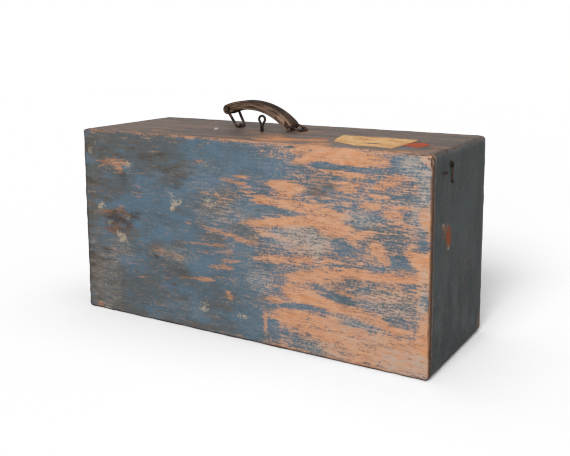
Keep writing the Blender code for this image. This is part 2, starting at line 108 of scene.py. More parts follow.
# Lock eye, end hooks and catches, as packed
EYE_X, EYE_Y = -0.0172, -0.008
EYE_WIRE = 0.0029
EYE_RADIUS = 0.0054
EYE_LEG_GAP = 0.0004
EYE_RISE = 0.0195
HOOK_Y, HOOK_Z = -0.044, 0.279
HOOK_WIRE = 0.0024
HOOK_EYE = 0.0032
HOOK_REACH = 0.025
HOOK_BEND = 0.003
HOOK_TIP = 0.0045
HOOK_GAP = 0.0003
SCREW_HEAD = 0.0033
SCREW_DOME = 0.0018
SCREW_SHANK = 0.0015
SCREW_TAPER = 0.0075
SCREW_LENGTH = 0.009
CATCH_WIRE = 0.0020
CATCH_SPAN = 0.0085
CATCH_PLAY = 0.0005
CATCH_LEG = 0.009

# Torn paper on the top: the body it is stuck to, its finish, and its corners in mm along X and Y
SHEETS = {
    "label_on_base": (
        "base",
        "label_paper",
        [
            (133, -54.6), (180, -54.6), (184, -48), (197, -47), (201, -54.6), (235, -54.6), (235, -30),
            (234, 9), (175, 11), (115, 10), (121, -22),
        ],
    ),
    "label_on_lid": (
        "lid",
        "label_paper",
        [
            (133, -55.4), (150, -66), (178, -82), (205, -79), (219, -81), (233, -85), (235, -55.4),
            (200, -55.4), (196, -58.5), (185, -58), (181, -55.4),
        ],
    ),
    "red_scrap": (
        "base",
        "red_paper",
        [
            (236.5, -54.6), (236.5, -24), (241, -19), (252, -17), (264, -27), (266, -42), (260, -54.6),
        ],
    ),
    "white_scrap": (
        "base",
        "white_paper",
        [
            (-101, -19), (-97, -17), (-102, -6), (-108, 1), (-112, -2), (-107, -10),
        ],
    ),
}

# How finely each board is cut, in mm along X, Y and Z, so that brushwork can be laid on its points
BOARD_CUTS = {
    "front_panel": (4.0, 0, 1.8),
    "back_panel": (12.0, 0, 8.0),
    "lid_top_board": (5.0, 3.0, 0),
    "base_top_board": (5.0, 4.0, 0),
    "lid_bottom_board": (12.0, 8.0, 0),
    "base_bottom_board": (12.0, 12.0, 0),
    "lid_right_board": (0, 3.0, 4.0),
    "base_right_board": (0, 3.0, 4.0),
    "lid_left_board": (0, 6.0, 8.0),
    "base_left_board": (0, 8.0, 8.0),
}

# Brush marks: place in mm (two numbers), half length and half height in mm, weight, and tilt in degrees
# where there is one. On the front the place is X and Z, on the top X and Y, on the ends Y and Z.
FRONT_BARE = [
    (-230, 138, 30, 12, 0.5, -15), (170, 288, 64, 10, 0.9, -3), (118, 280, 20, 5, 0.5, 12),
    (184, 265, 36, 4, 0.6, -3), (185, 251, 24, 3, 0.5), (178, 244, 16, 3, 0.5),
    (230, 253, 12, 6, 0.5, 20), (250, 262, 22, 8, 0.45, 15), (228, 239, 18, 3, 0.45),
    (215, 225, 17, 4, 0.5, 3), (260, 227, 22, 2, 0.4, 2), (248, 217, 14, 6, 0.4),
    (245, 203, 46, 2.5, 0.4, 2), (85, 240, 28, 8, 0.55, -3), (82, 228, 22, 4, 0.45),
    (92, 214, 58, 8, 0.6, -3), (150, 210, 40, 6, 0.5, -8), (42, 217, 9, 7, 0.5),
    (100, 191, 60, 7, 0.6, 8), (135, 201, 15, 13, 0.5), (55, 182, 44, 5, 0.65, 3),
    (62, 167, 38, 4, 0.5, -9), (10, 154, 28, 3.5, 0.5, -5), (165, 187, 26, 10, 0.5, 10),
    (182, 172, 14, 8, 0.3), (205, 186, 18, 5, 0.5, 22), (226, 169, 10, 9, 0.55),
    (236, 156, 11, 6, 0.5, -30), (285, 166, 18, 14, 0.6), (120, 156, 26, 6, 0.4, 10),
    (100, 136, 62, 6, 0.55, 6), (215, 131, 90, 7, 0.55, 4), (130, 116, 46, 8, 0.5, 8),
    (108, 90, 26, 14, 0.6), (150, 80, 56, 8, 0.55, -4), (235, 70, 52, 10, 0.5, -8),
    (138, 46, 70, 17, 0.75, -3), (195, 34, 62, 18, 0.6), (262, 36, 44, 26, 0.45), (225, 14, 78, 10, 0.4),
    (50, 36, 3, 22, 0.45), (78, 25, 3, 20, 0.35), (286, 116, 5, 26, 0.5), (66, 72, 15, 5, 0.45),
    (200, 100, 60, 6, 0.3, 3), (-30, 161, 30, 2.6, 0.55, -3), (-60, 138, 42, 2.4, 0.55, 4),
    (-50, 126, 12, 2.2, 0.45, -2), (-10, 132, 22, 3, 0.45, 8), (-10, 118, 18, 3.2, 0.6, 3),
    (-25, 107, 27, 3.8, 0.65, 4), (-60, 83, 22, 3.8, 0.7, 3), (-20, 90, 25, 1.8, 0.4, -2),
    (-14, 66, 9, 6, 0.5, -40), (-63, 264, 11, 2, 0.6), (-60, 217, 8, 2.2, 0.5, -5),
    (-38, 215, 14, 2.2, 0.55, -2), (-25, 207, 9, 1.8, 0.5), (-50, 198, 12, 2.2, 0.35, 8),
    (-8, 240, 20, 4, 0.5, -5), (10, 247, 15, 3, 0.55), (15, 235, 15, 5, 0.4), (20, 226, 15, 3, 0.35),
    (-88, 167, 7, 2, 0.45, -3), (-228, 250, 28, 6, 0.75), (-223, 240, 9, 6, 0.6, -40),
    (-262, 250, 14, 2, 0.5), (-262, 243, 9, 2.6, 0.45, 25), (-183, 214, 8, 2, 0.45, -15),
    (-222, 201, 6, 1.8, 0.5), (-183, 198, 7, 1.8, 0.5), (-243, 106, 12, 1.8, 0.5),
    (-118, 112, 26, 4, 0.5, -3), (-148, 120, 14, 5, 0.5), (-230, 166, 26, 8, 0.45),
    (-212, 156, 14, 8, 0.4), (-222, 176, 10, 5, 0.4), (-255, 167, 22, 4, 0.4), (-240, 140, 20, 4, 0.35),
    (-205, 146, 10, 5, 0.45, 30), (-275, 8, 10, 4, 0.5), (60, 262, 55, 12, -0.35),
    (160, 273, 30, 4, -0.5), (190, 272, 30, 4, -0.4), (20, 270, 40, 18, -0.3),
    (75, 205, 30, 5, -0.35, -5), (20, 200, 28, 9, -0.4), (20, 170, 18, 6, -0.3),
    (175, 165, 14, 12, -0.45), (215, 200, 30, 10, -0.35), (245, 180, 20, 9, -0.35),
    (255, 155, 20, 8, -0.3), (282, 175, 8, 3, -0.6), (225, 138, 14, 4, -0.35, 10),
    (20, 138, 24, 6, -0.35, 5), (15, 110, 22, 8, -0.4), (25, 90, 20, 16, -0.45),
    (155, 95, 36, 6, -0.4, -6), (175, 88, 18, 7, -0.4, -10), (205, 108, 18, 5, -0.4, 20),
    (252, 72, 18, 6, -0.55, -12), (240, 112, 24, 12, 0.15), (-10, 180, 60, 46, 0.12),
    (100, 68, 20, 4, -0.45, 4), (185, 57, 16, 5, -0.4, 8), (70, 28, 16, 14, -0.35),
    (25, 30, 24, 22, -0.35), (115, 14, 26, 7, -0.4, -8), (225, 38, 18, 8, -0.35),
    (275, 62, 12, 10, -0.35), (240, 272, 30, 5, -0.2), (270, 285, 26, 12, -0.3), (265, 240, 22, 4, -0.35),
    (293, 292, 9, 7, 0.7), (293, 258, 9, 22, -0.5), (293, 218, 9, 14, 0.7), (293, 180, 9, 10, -0.7),
    (293, 150, 9, 16, 0.8), (293, 106, 9, 9, -0.7), (293, 60, 9, 30, 0.7),
]
FRONT_PUTTY = [
    (-222, 130, 9, 6, 0.5), (-226, 118, 5, 8, 0.45), (-246, 150, 8, 4, 0.4, 20), (-262, 48, 6, 10, 0.35),
    (-205, 247, 11, 7, 0.58), (-118, 203, 5, 12, 0.58, 15), (-108, 195, 16, 4.5, 0.65, 35),
    (-117, 184, 6, 5, 0.5, 60), (-215, 125, 9, 6, 0.5), (-228, 135, 6, 5, 0.43), (-205, 160, 4, 5, 0.43),
    (-60, 40, 11, 8, 0.43), (-45, 203, 14, 8, 0.32), (-240, 22, 6, 3, 0.43), (-256, 3, 11, 2.5, 0.5),
    (10, 38, 12, 10, 0.32), (-285, 268, 6, 8, 0.4, 20), (-286, 112, 8, 5, 0.4, 30),
    (-291, 95, 4, 8, 0.36), (-272, 279, 2.6, 2.2, 0.72), (42, 89, 4, 3, 0.43), (43, 4, 6, 2.5, 0.58, -10),
    (-266, 174, 4, 6, 0.4, -20), (-236, 85, 4, 3, 0.43), (-110, 42, 5, 4, 0.32), (-295, 196, 4, 7, 0.36),
    (-297, 45, 4, 9, 0.36), (134, 160, 2.5, 18, 0.6, 12), (-150, 200, 70, 1.4, 0.22),
    (-240, 190, 60, 1.6, 0.18), (-225, 164, 26, 10, 0.3), (-262, 175, 12, 9, 0.3),
]
FRONT_GRIME = [
    (-215, 165, 34, 13, 0.42), (-238, 160, 22, 9, 0.3), (-205, 152, 12, 8, 0.35),
    (-150, 106, 7, 3.6, 0.62), (-155, 122, 8, 6, 0.31), (-125, 248, 60, 24, 0.31),
    (-230, 272, 70, 20, 0.22), (-268, 60, 42, 62, 0.14), (-255, 205, 42, 28, 0.19),
    (130, 246, 42, 16, 0.31), (46, 205, 12, 13, 0.28), (46, 84, 10, 12, 0.28), (-110, 76, 30, 20, 0.22),
    (-192, 68, 9, 12, 0.25), (-215, 225, 8, 14, 0.28), (-150, 30, 60, 18, 0.19), (-20, 200, 22, 10, 0.19),
    (60, 76, 3, 2, 0.56), (107, 41, 4, 2.5, 0.37), (-120, 160, 16, 14, 0.22), (-272, 100, 26, 18, 0.19),
    (-222, 65, 4, 40, 0.19), (-90, 225, 30, 16, 0.22), (-290, 150, 8, 140, 0.22),
    # The last mark darkens the whole bottom edge
    (-232, 148, 30, 14, 0.3, -10), (-299.5, 150, 3.5, 190, 0.75), (0, 0.5, 390, 3, 0.5),
]
FRONT_OLD = [(-228, 146, 42, 22, 0.6, -12), (-140, 122, 40, 12, 0.35, -15)]
FRONT_FILM = [
    (-285, 85, 20, 90, 0.6), (-262, 45, 44, 46, 0.45), (-250, 278, 70, 24, 0.35), (-148, 120, 24, 9, 0.7),
    (-118, 112, 26, 8, 0.45), (-229, 160, 34, 14, 0.8), (-273, 167, 20, 11, 0.5),
    (-198, 139, 16, 10, 0.5), (-125, 248, 58, 22, 0.4), (-60, 140, 60, 24, 0.25), (-150, 8, 130, 8, 0.5),
    (-255, 205, 42, 28, 0.3), (-285, 230, 14, 60, 0.4), (40, 180, 30, 40, 0.2), (130, 246, 40, 14, 0.25),
]
FRONT_GREY = [
    (-195, 278, 100, 22, 0.6), (-125, 246, 46, 26, 0.45), (-262, 60, 46, 52, 0.5),
    (-240, 222, 50, 22, 0.3), (-60, 266, 56, 26, -0.5), (-152, 195, 40, 40, -0.5),
    (-20, 100, 60, 26, -0.4), (-72, 116, 42, 20, -0.4), (-120, 22, 46, 16, -0.3), (10, 276, 70, 22, -0.2),
    (-100, 85, 36, 18, 0.3), (175, 165, 14, 12, -0.4), (25, 50, 30, 40, -0.3), (150, 272, 20, 6, -0.6),
    (285, 175, 8, 4, -0.5), (-170, 60, 40, 40, 0.15),
]
FRONT_HAZE = [
    (-262, 50, 40, 52, 0.24), (-250, 120, 40, 30, 0.15), (-10, 180, 60, 46, 0.12), (0, 110, 50, 36, 0.1),
    (293, 258, 9, 24, 0.3), (285, 284, 30, 20, 0.5), (286, 225, 14, 30, 0.4), (105, 166, 52, 18, 0.5),
    (132, 160, 9, 22, 0.5, 12), (268, 18, 42, 20, 0.5), (240, 96, 42, 18, 0.4), (200, 206, 26, 10, 0.4),
    (40, 96, 22, 16, 0.35), (292, 110, 10, 42, 0.4), (200, 48, 44, 22, 0.3), (-110, 115, 40, 14, 0.35),
    (-30, 190, 50, 16, 0.25), (-60, 240, 50, 30, 0.2), (-100, 30, 60, 14, 0.2), (150, 15, 40, 12, 0.35),
    (-220, 105, 30, 20, 0.2),
]
TOP_BARE = [
    (-200, -107, 100, 3.4, 0.2), (-60, -107, 80, 3.4, 0.4), (60, -107, 90, 3.6, 0.5),
    (128, -104, 24, 6, 0.8), (240, -108, 90, 3, 0.4), (26, -52, 26, 12, 0.8), (44, -84, 30, 13, 1.15),
    (66, -66, 30, 13, 1.15), (106, -56, 17, 14, 1.2), (128, -88, 18, 11, 1.0), (-175, -70, 14, 9, 0.7),
    (-230, -90, 34, 7, 0.4), (-120, -92, 40, 7, 0.35), (-20, -94, 34, 8, 0.45), (30, 25, 20, 8, 0.45),
    (-90, 30, 26, 6, 0.4), (-20, -14, 22, 10, 0.45), (262, -98, 26, 8, 0.6), (286, -60, 8, 30, 0.45),
    (60, 40, 14, 8, 0.5), (48, 8, 18, 9, 0.45), (10, -36, 40, 9, 0.35), (92, -92, 22, 7, 0.5),
]
TOP_FRESH = [(66, -72, 60, 26, 0.3), (110, -62, 24, 20, 0.3), (128, -90, 22, 14, 0.3)]
TOP_RED = [(107, -40, 9, 5, 0.6), (97, -42, 6, 4, 0.55), (256, -59, 7, 5, 0.8), (268, -36, 4, 7, 0.5)]
TOP_GRIME = [
    (225, -99.5, 80, 2.4, 1.0), (-30, 0, 40, 7, 0.4), (2, -24, 16, 5, 0.5), (-80, 12, 26, 6, 0.35),
    (40, 14, 30, 5, 0.45), (-240, 40, 60, 30, 0.2), (150, 60, 140, 26, 0.2),
]
TOP_CLEAN = [
    (160, -96, 42, 9, 0.5), (246, -72, 15, 10, 0.6), (80, -98, 30, 6, 0.35), (20, -40, 40, 12, 0.25),
]
END_BARE = [
    (-50, 186, 19, 14, 0.9, -16), (-68, 199, 7, 4, 0.8, -25), (-46, 168, 7, 5, 0.7), (-55, 85, 6, 8, 0.3),
    (101, 12, 9, 18, 0.9), (90, 5, 18, 5, 0.6), (104, 120, 5, 30, 0.3), (-72, 75, 6, 20, 0.25),
]
END_PUTTY = [(-67, 200, 4, 3, 0.8, -25), (-45, 166, 5, 3, 0.7), (-50, 199, 3, 3, 0.5)]
END_FLAKE = [(-47, 184, 10, 12, 0.8, -10), (-42, 174, 6, 7, 0.7)]
END_HAZE = [(32, 170, 10, 16, 0.25), (0, 60, 60, 40, 0.1), (60, 240, 20, 40, 0.12)]


def linear(code):
    """An sRGB hex colour as linear numbers."""
    channels = [int(code[i : i + 2], 16) / 255 for i in (1, 3, 5)]
    return tuple(c / 12.92 if c <= 0.04045 else ((c + 0.055) / 1.055) ** 2.4 for c in channels)


def colour(name, description, code):
    """A colour setting, from an sRGB hex colour."""
    return bpy.props.FloatVectorProperty(
        name=name, description=description, subtype="COLOR", size=3, min=0, max=1, default=linear(code)
    )


def length(name, description, metres):
    """A length setting."""
    return bpy.props.FloatProperty(
        name=name, description=description, unit="LENGTH", precision=5, default=metres
    )


class SuitcaseColours(bpy.types.PropertyGroup):
    """Colours of the suitcase's finishes."""

    blue: colour("Blue paint", "Paint where it is clean", "#566c7c")
    blue_deep: colour("Deep blue paint", "Paint in its darker clouds", "#4e606b")
    slate: colour("Slate paint", "Paint greyed by dirt, in clouds on the front", "#545b5f")
    film: colour("Film", "Olive-brown film of dirt over the paint", "#605a51")
    end_paint: colour("End paint", "Grey-green paint of the ends", "#50585a")
    end_deep: colour("Deep end paint", "Paint of the ends in its darker streaks", "#474d4e")
    # Paint near the floor: the ends turn darker towards the bottom
    end_low: colour("Low end paint", "Paint of the ends near the floor, darker with damp", "#3b4245")
    soil: colour("Soiled paint", "Paint under years of dirt, as on the top", "#6c5b50")
    soil_deep: colour("Deep soil", "Darker streaks of the soiled top", "#3f3736")
    grime: colour("Grime", "Dirt in hollows and round knocks", "#3d3631")
    fresh_wood: colour("Rubbed wood", "Bare wood where the paint has just gone", "#c4865b")
    pale_wood: colour("Pale grain", "The lighter grain of the rubbed wood", "#c99876")
    old_wood: colour("Old wood", "Bare wood browned by hands", "#7a563f")
    dark_wood: colour("Dark grain", "The darker grain of the old wood", "#513a2b")
    inner_wood: colour("Inner wood", "Unpainted wood inside the case", "#b38a5e")
    putty: colour("Filler", "Old filler and paper fibre", "#aa9d88")
    haze: colour("Scuffs", "Pale scuffing over paint and wood", "#ada096")
    red: colour("Red paper", "Remains of red paper on the top", "#bb5236")
    flake: colour("Flake", "Orange undercoat in a flake on the end", "#9c4f2b")
    # The grain side is darker than the leather is: painted shade on the grip's upper side, over the leather's
    # own dark brown
    leather: colour("Leather", "Grain side of the grip", "#17100c")
    leather_worn: colour("Rubbed leather", "Grain side where hands have rubbed it", "#3d2d24")
    leather_side: colour("Leather side", "Sides of the grip, greased and dark", "#4e3a2e")
    leather_edge: colour("Cut leather", "Dry cut edges of the leather", "#927867")
    leather_fray: colour("Frayed leather", "Pale fibres at the grip's right end", "#b1937c")
    thread: colour("Thread", "Waxed linen thread", "#7d6753")
    iron: colour("Iron", "Dark forged wire", "#241c18")
    rust: colour("Rust", "Rust on the wire", "#64493a")
    scrap: colour("Scrap", "A scrap of white paper", "#ddd4cd")
    paper: colour("Paper", "Old label paper", "#f0c690")
    paper_stain: colour("Stained paper", "Browned parts of the label", "#b1743f")


class SuitcaseSizes(bpy.types.PropertyGroup):
    """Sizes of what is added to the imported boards."""

    edge_wear: length("Edge wear", "Deepest wear along an outer edge", 0.0012)
    nail_head: length("Nail head", "Radius of a nail's head", 0.0010)
    nail_spacing: length("Nail spacing", "Distance between nails along an edge", 0.084)
    strap: length("Strap", "Thickness of the grip's leather strap", 0.0032)
    stitch_pitch: length("Stitch pitch", "Distance between stitches on the grip", 0.0052)
    stitch: length("Stitch", "Thickness of a stitch", 0.0009)
    paper: length("Paper", "Thickness of the label", 0.0003)


def feed(tree, node, **links):
    """Links or sets a node's inputs.

    An input goes by its name, or by i and its number where several inputs share a name. Its value is
    another node's output, or a plain value.
    """
    for key, value in links.items():
        numbered = key[0] == "i" and key[1:].isdigit()
        socket = node.inputs[int(key[1:]) if numbered else key.replace("_", " ")]
        if isinstance(value, bpy.types.NodeSocket):
            tree.links.new(value, socket)
        else:
            socket.default_value = value


def add(tree, kind, settings=None, out=None, **links):
    """Adds a node with its settings and links, and gives the node or one of its outputs."""
    node = tree.nodes.new(kind)
    for key, value in (settings or {}).items():
        setattr(node, key, value)
    feed(tree, node, **links)
    return node if out is None else node.outputs[out]


def new_material(name, shine=0.15):
    """A material, its tree and its shader; old dusty surfaces shine little."""
    material = bpy.data.materials.new(name)
    material.use_nodes = True
    tree = material.node_tree
    shader = tree.nodes["Principled BSDF"]
    feed(tree, shader, Specular_IOR_Level=shine)
    return material, tree, shader


def grain(tree, place, axis, along_mm, across_mm, detail, roughness, shift=0.0):
    """A pattern drawn out along the grain: features of these sizes along and across it."""
    scale = [1 / MM / across_mm] * 3
    scale[axis] = 1 / MM / along_mm
    shifts = (shift, shift * 0.7, shift * 1.3)
    spot = add(tree, "ShaderNodeMapping", None, 0, Vector=place, Location=shifts, Scale=scale)
    look = {"Scale": 1.0, "Detail": detail, "Roughness": roughness}
    return add(tree, "ShaderNodeTexNoise", None, "Fac", Vector=spot, **look)


def heap(tree, patterns, weights, start=0.0):
    """A value with patterns heaped on it by weight, each taken about its middle."""
    middle = sum(weights.values()) / 2
    total = add(tree, "ShaderNodeMath", {"operation": "SUBTRACT"}, 0, i0=start, i1=middle)
    for key, weight in weights.items():
        total = add(tree, "ShaderNodeMath", TIMES_PLUS, 0, i0=patterns[key], i1=weight, i2=total)
    return total


def coat(tree, under, shade, cover, low, high, most=1.0):
    """Lays a shade over a surface: none where the cover is low, and up to a share where it is high."""
    share = add(tree, "ShaderNodeMapRange", SOFT, 0, i0=cover, i1=low, i2=high, i3=0.0, i4=most)
    return add(tree, "ShaderNodeMix", {"data_type": "RGBA"}, 2, i0=share, i6=under, i7=shade)


# What is stored on the boards' points for their paint, with three values in each
FIELDS = ("wear", "marks", "soil")

# Patterns of worn paint: mm along and across the grain, detail, roughness and shift
PAINT_PATTERNS = {
    "streak": (40.0, 1.9, 6.0, 0.62, 0.0),
    "flake": (20.0, 7.0, 5.0, 0.65, 3.1),
    "cloud": (70.0, 42.0, 4.0, 0.6, 7.7),
    "fibre": (14.0, 1.1, 4.0, 0.65, 1.9),
    "speck": (3.4, 2.2, 5.0, 0.7, 5.3),
    "smear": (34.0, 9.0, 5.0, 0.68, 11.3),
    "band": (240.0, 17.0, 3.0, 0.6, 13.7),
    "group": (64.0, 26.0, 3.0, 0.6, 17.9),
}


def dirty_paint(tree, shades, made, fields, paints):
    """Paint in two shades, with darker clouds, soil, a film of dirt and fine scratches over it."""
    soiled, slate, film = fields
    clean, deep, clouded = paints
    paint = coat(tree, clean, deep, made["cloud"], 0.36, 0.64)
    cloudy = heap(tree, made, {"smear": 1.2, "cloud": 2.8, "speck": 0.9}, slate)
    paint = coat(tree, paint, clouded, cloudy, 0.15, 0.9)
    streaky = heap(tree, made, {"band": 3.0, "smear": 1.4})
    soil = coat(tree, shades["soil"], shades["soil_deep"], streaky, -0.3, 0.3)
    paint = coat(tree, paint, soil, soiled, 0.0, 1.0)
    filmed = heap(tree, made, {"smear": 2.6, "streak": 1.6, "speck": 2.4}, film)
    paint = coat(tree, paint, shades["film"], filmed, 0.2, 1.0, 0.7)
    scratch = heap(tree, made, {"fibre": 2.0, "speck": 2.0})
    paint = coat(tree, paint, shades["haze"], scratch, 0.1, 0.5, 0.22)
    return coat(tree, paint, shades["grime"], scratch, -0.1, -0.5, 0.22)


def rubbed_wood(tree, shades, made, age):
    """Bare wood: orange where the paint has just gone, and brown where hands have aged it."""
    grained = heap(tree, made, {"fibre": 2.0, "flake": 2.0})
    fresh = coat(tree, shades["fresh_wood"], shades["pale_wood"], grained, -0.3, 0.3)
    streaky = heap(tree, made, {"streak": 2.4, "smear": 2.0})
    fresh = coat(tree, fresh, shades["old_wood"], streaky, 0.1, 0.6, 0.45)
    old = coat(tree, shades["dark_wood"], shades["old_wood"], made["fibre"], 0.35, 0.65)
    return coat(tree, fresh, old, age, 0.0, 1.0)


def painted_wood(name, shades, axis, paints):
    """Brushed oil paint on sawn pine, rubbed through along the grain.

    The eye sees flat paint under a film of dirt, ragged streaks of orange wood in groups, and scuffed edges.
    """
    material, tree, shader = new_material(name, 0.08)
    place = add(tree, "ShaderNodeTexCoord", None, "Object")
    stored = []
    for field in FIELDS:
        values = add(tree, "ShaderNodeAttribute", {"attribute_name": field}, 0)
        stored.append(add(tree, "ShaderNodeSeparateColor", None, i0=values).outputs)
    (bare, age, grime), (putty, haze, flaked), soils = stored
    made = {key: grain(tree, place, axis, *sizes) for key, sizes in PAINT_PATTERNS.items()}
    *paints, flake = (shades[key] for key in paints)

    paint = dirty_paint(tree, shades, made, soils, paints)
    wood = rubbed_wood(tree, shades, made, age)
    ragged = heap(tree, made, {"streak": 2.8, "fibre": 2.8, "speck": 3.2, "flake": 1.3})
    calm = add(tree, "ShaderNodeMapRange", SOFT, 0, i0=made["group"], i1=0.36, i2=0.62, i3=0.5, i4=1.25)
    through = add(tree, "ShaderNodeMath", TIMES_PLUS, 0, i0=ragged, i1=calm, i2=bare)
    surface = coat(tree, paint, wood, through, 0.12, 0.88)

    scuffs = heap(tree, made, {"streak": 2.0, "speck": 2.4, "fibre": 1.6})
    scuffs = add(tree, "ShaderNodeMapRange", SOFT, 0, i0=scuffs, i1=-0.45, i2=0.45, i3=0.08, i4=1.1)
    scuffs = add(tree, "ShaderNodeMath", TIMES, 0, i0=scuffs, i1=haze)
    surface = coat(tree, surface, shades["haze"], scuffs, 0.0, 1.0)
    lumps = heap(tree, made, {"speck": 3.6, "flake": 2.4})
    for mark, shade in ((putty, shades["putty"]), (flaked, flake)):
        reach = add(tree, "ShaderNodeMapRange", SOFT, 0, i0=mark, i1=0.0, i2=0.3, i3=0.0, i4=1.0)
        torn = add(tree, "ShaderNodeMath", TIMES_PLUS, 0, i0=lumps, i1=reach, i2=mark)
        surface = coat(tree, surface, shade, torn, 0.4, 0.65, 0.9)
    dirt = heap(tree, made, {"smear": 3.0, "speck": 2.4, "fibre": 1.2}, grime)
    surface = coat(tree, surface, shades["grime"], dirt, 0.5, 1.4, 0.8)

    rough = add(tree, "ShaderNodeMapRange", SOFT, 0, i0=through, i1=0.3, i2=0.7, i3=0.52, i4=0.78)
    height = heap(tree, {**made, "worn": rough}, {"fibre": 0.35, "speck": 0.3, "worn": -1.5})
    relief = add(tree, "ShaderNodeBump", None, 0, Strength=0.5, Distance=0.0006, Height=height)
    feed(tree, shader, Base_Color=surface, Roughness=rough, Normal=relief)
    return material


def bare_pine(name, shades, axis, pale, dark):
    """Unpainted pine: dry, dusty and evenly browned, with fine dark fibres along it."""
    material, tree, shader = new_material(name)
    place = add(tree, "ShaderNodeTexCoord", None, "Object")
    fibre = grain(tree, place, axis, 60.0, 1.2, 4.0, 0.6, 2.4)
    band = grain(tree, place, axis, 220.0, 9.0, 2.0, 0.5, 8.8)
    surface = coat(tree, shades[dark], shades[pale], band, 0.35, 0.65)
    surface = coat(tree, surface, shades["old_wood"], fibre, 0.45, 0.75, 0.5)
    relief = add(tree, "ShaderNodeBump", None, 0, Strength=0.35, Distance=0.0005, Height=fibre)
    feed(tree, shader, Base_Color=surface, Roughness=0.8, Normal=relief)
    return material


def forged_iron(name, shades, dark, rust):
    """Hand-bent iron wire: dark, dull and freckled with rust."""
    material, tree, shader = new_material(name)
    place = add(tree, "ShaderNodeTexCoord", None, "Object")
    blotch = grain(tree, place, ALONG_X, 5.0, 5.0, 4.0, 0.65)
    pit = grain(tree, place, ALONG_X, 1.0, 1.0, 3.0, 0.6, 4.4)
    surface = coat(tree, shades[dark], shades[rust], blotch, 0.45, 0.65)
    metal = add(tree, "ShaderNodeMapRange", SOFT, 0, i0=blotch, i1=0.45, i2=0.65, i3=0.6, i4=0.1)
    rough = add(tree, "ShaderNodeMapRange", SOFT, 0, i0=blotch, i1=0.45, i2=0.65, i3=0.5, i4=0.85)
    relief = add(tree, "ShaderNodeBump", None, 0, Strength=0.5, Distance=0.0003, Height=pit)
    feed(tree, shader, Base_Color=surface, Metallic=metal, Roughness=rough, Normal=relief)
    return material


def hide_leather(name, shades, dark, rubbed, frayed):
    """Bridle leather: fine cracks along it, paler where hands have rubbed it, and frayed at its right end."""
    material, tree, shader = new_material(name, 0.05)
    place = add(tree, "ShaderNodeAttribute", {"attribute_name": "lay"}, "Vector")
    along, _, across = add(tree, "ShaderNodeSeparateXYZ", None, i0=place).outputs
    made = {
        "patch": grain(tree, place, ALONG_X, 30.0, 2.8, 4.0, 0.62),
        "crack": grain(tree, place, ALONG_X, 16.0, 1.3, 4.0, 0.7, 6.1),
        "fray": grain(tree, place, ALONG_X, 3.0, 1.6, 5.0, 0.7, 2.3),
    }
    surface = coat(tree, shades[dark], shades[rubbed], made["patch"], 0.42, 0.58)
    # Paler along both edges towards the right end: a painted highlight on the ridges, partly rubbed leather
    # too
    side = add(tree, "ShaderNodeMath", {"operation": "ABSOLUTE"}, 0, i0=across)
    ridge = add(tree, "ShaderNodeMapRange", SOFT, 0, i0=side, i1=0.0090, i2=0.0112, i3=0.0, i4=1.0)
    right = add(tree, "ShaderNodeMapRange", SOFT, 0, i0=along, i1=0.035, i2=0.075, i3=0.0, i4=1.0)
    ridge = add(tree, "ShaderNodeMath", TIMES, 0, i0=ridge, i1=right)
    ridge = heap(tree, made, {"patch": 2.0, "fray": 1.5}, ridge)
    surface = coat(tree, surface, shades["leather_edge"], ridge, 0.7, 1.3, 0.55)
    surface = coat(tree, surface, shades["grime"], made["crack"], 0.52, 0.66, 0.7)
    end = add(tree, "ShaderNodeMapRange", SOFT, 0, i0=along, i1=0.078, i2=0.100, i3=-0.7, i4=0.6)
    end = heap(tree, made, {"fray": 3.0, "patch": 1.2}, end)
    surface = coat(tree, surface, shades["leather_fray"], end, 0.1, 0.7, frayed)
    rough = add(tree, "ShaderNodeMapRange", SOFT, 0, i0=made["patch"], i1=0.3, i2=0.7, i3=0.65, i4=0.8)
    height = heap(tree, made, {"crack": 0.6, "fray": 0.4})
    relief = add(tree, "ShaderNodeBump", None, 0, Strength=0.7, Distance=0.0006, Height=height)
    feed(tree, shader, Base_Color=surface, Roughness=rough, Normal=relief)
    return material


def plain_fibre(name, shades, first, second, size_mm):
    """Thread or paper: matt fibres in two shades.

    The real fibres are too fine to show, so they are drawn as flecks of about a millimetre and more.
    """
    material, tree, shader = new_material(name)
    place = add(tree, "ShaderNodeTexCoord", None, "Object")
    made = {
        "fibre": grain(tree, place, ALONG_X, size_mm * 3, size_mm, 4.0, 0.65),
        "stain": grain(tree, place, ALONG_X, 30.0, 18.0, 3.0, 0.6, 9.2),
    }
    stained = heap(tree, made, {"fibre": 2.2, "stain": 1.4})
    surface = coat(tree, shades[first], shades[second], stained, -0.4, 0.62)
    relief = add(tree, "ShaderNodeBump", None, 0, Strength=0.3, Distance=0.0002, Height=made["fibre"])
    feed(tree, shader, Base_Color=surface, Roughness=0.8, Normal=relief)
    return material


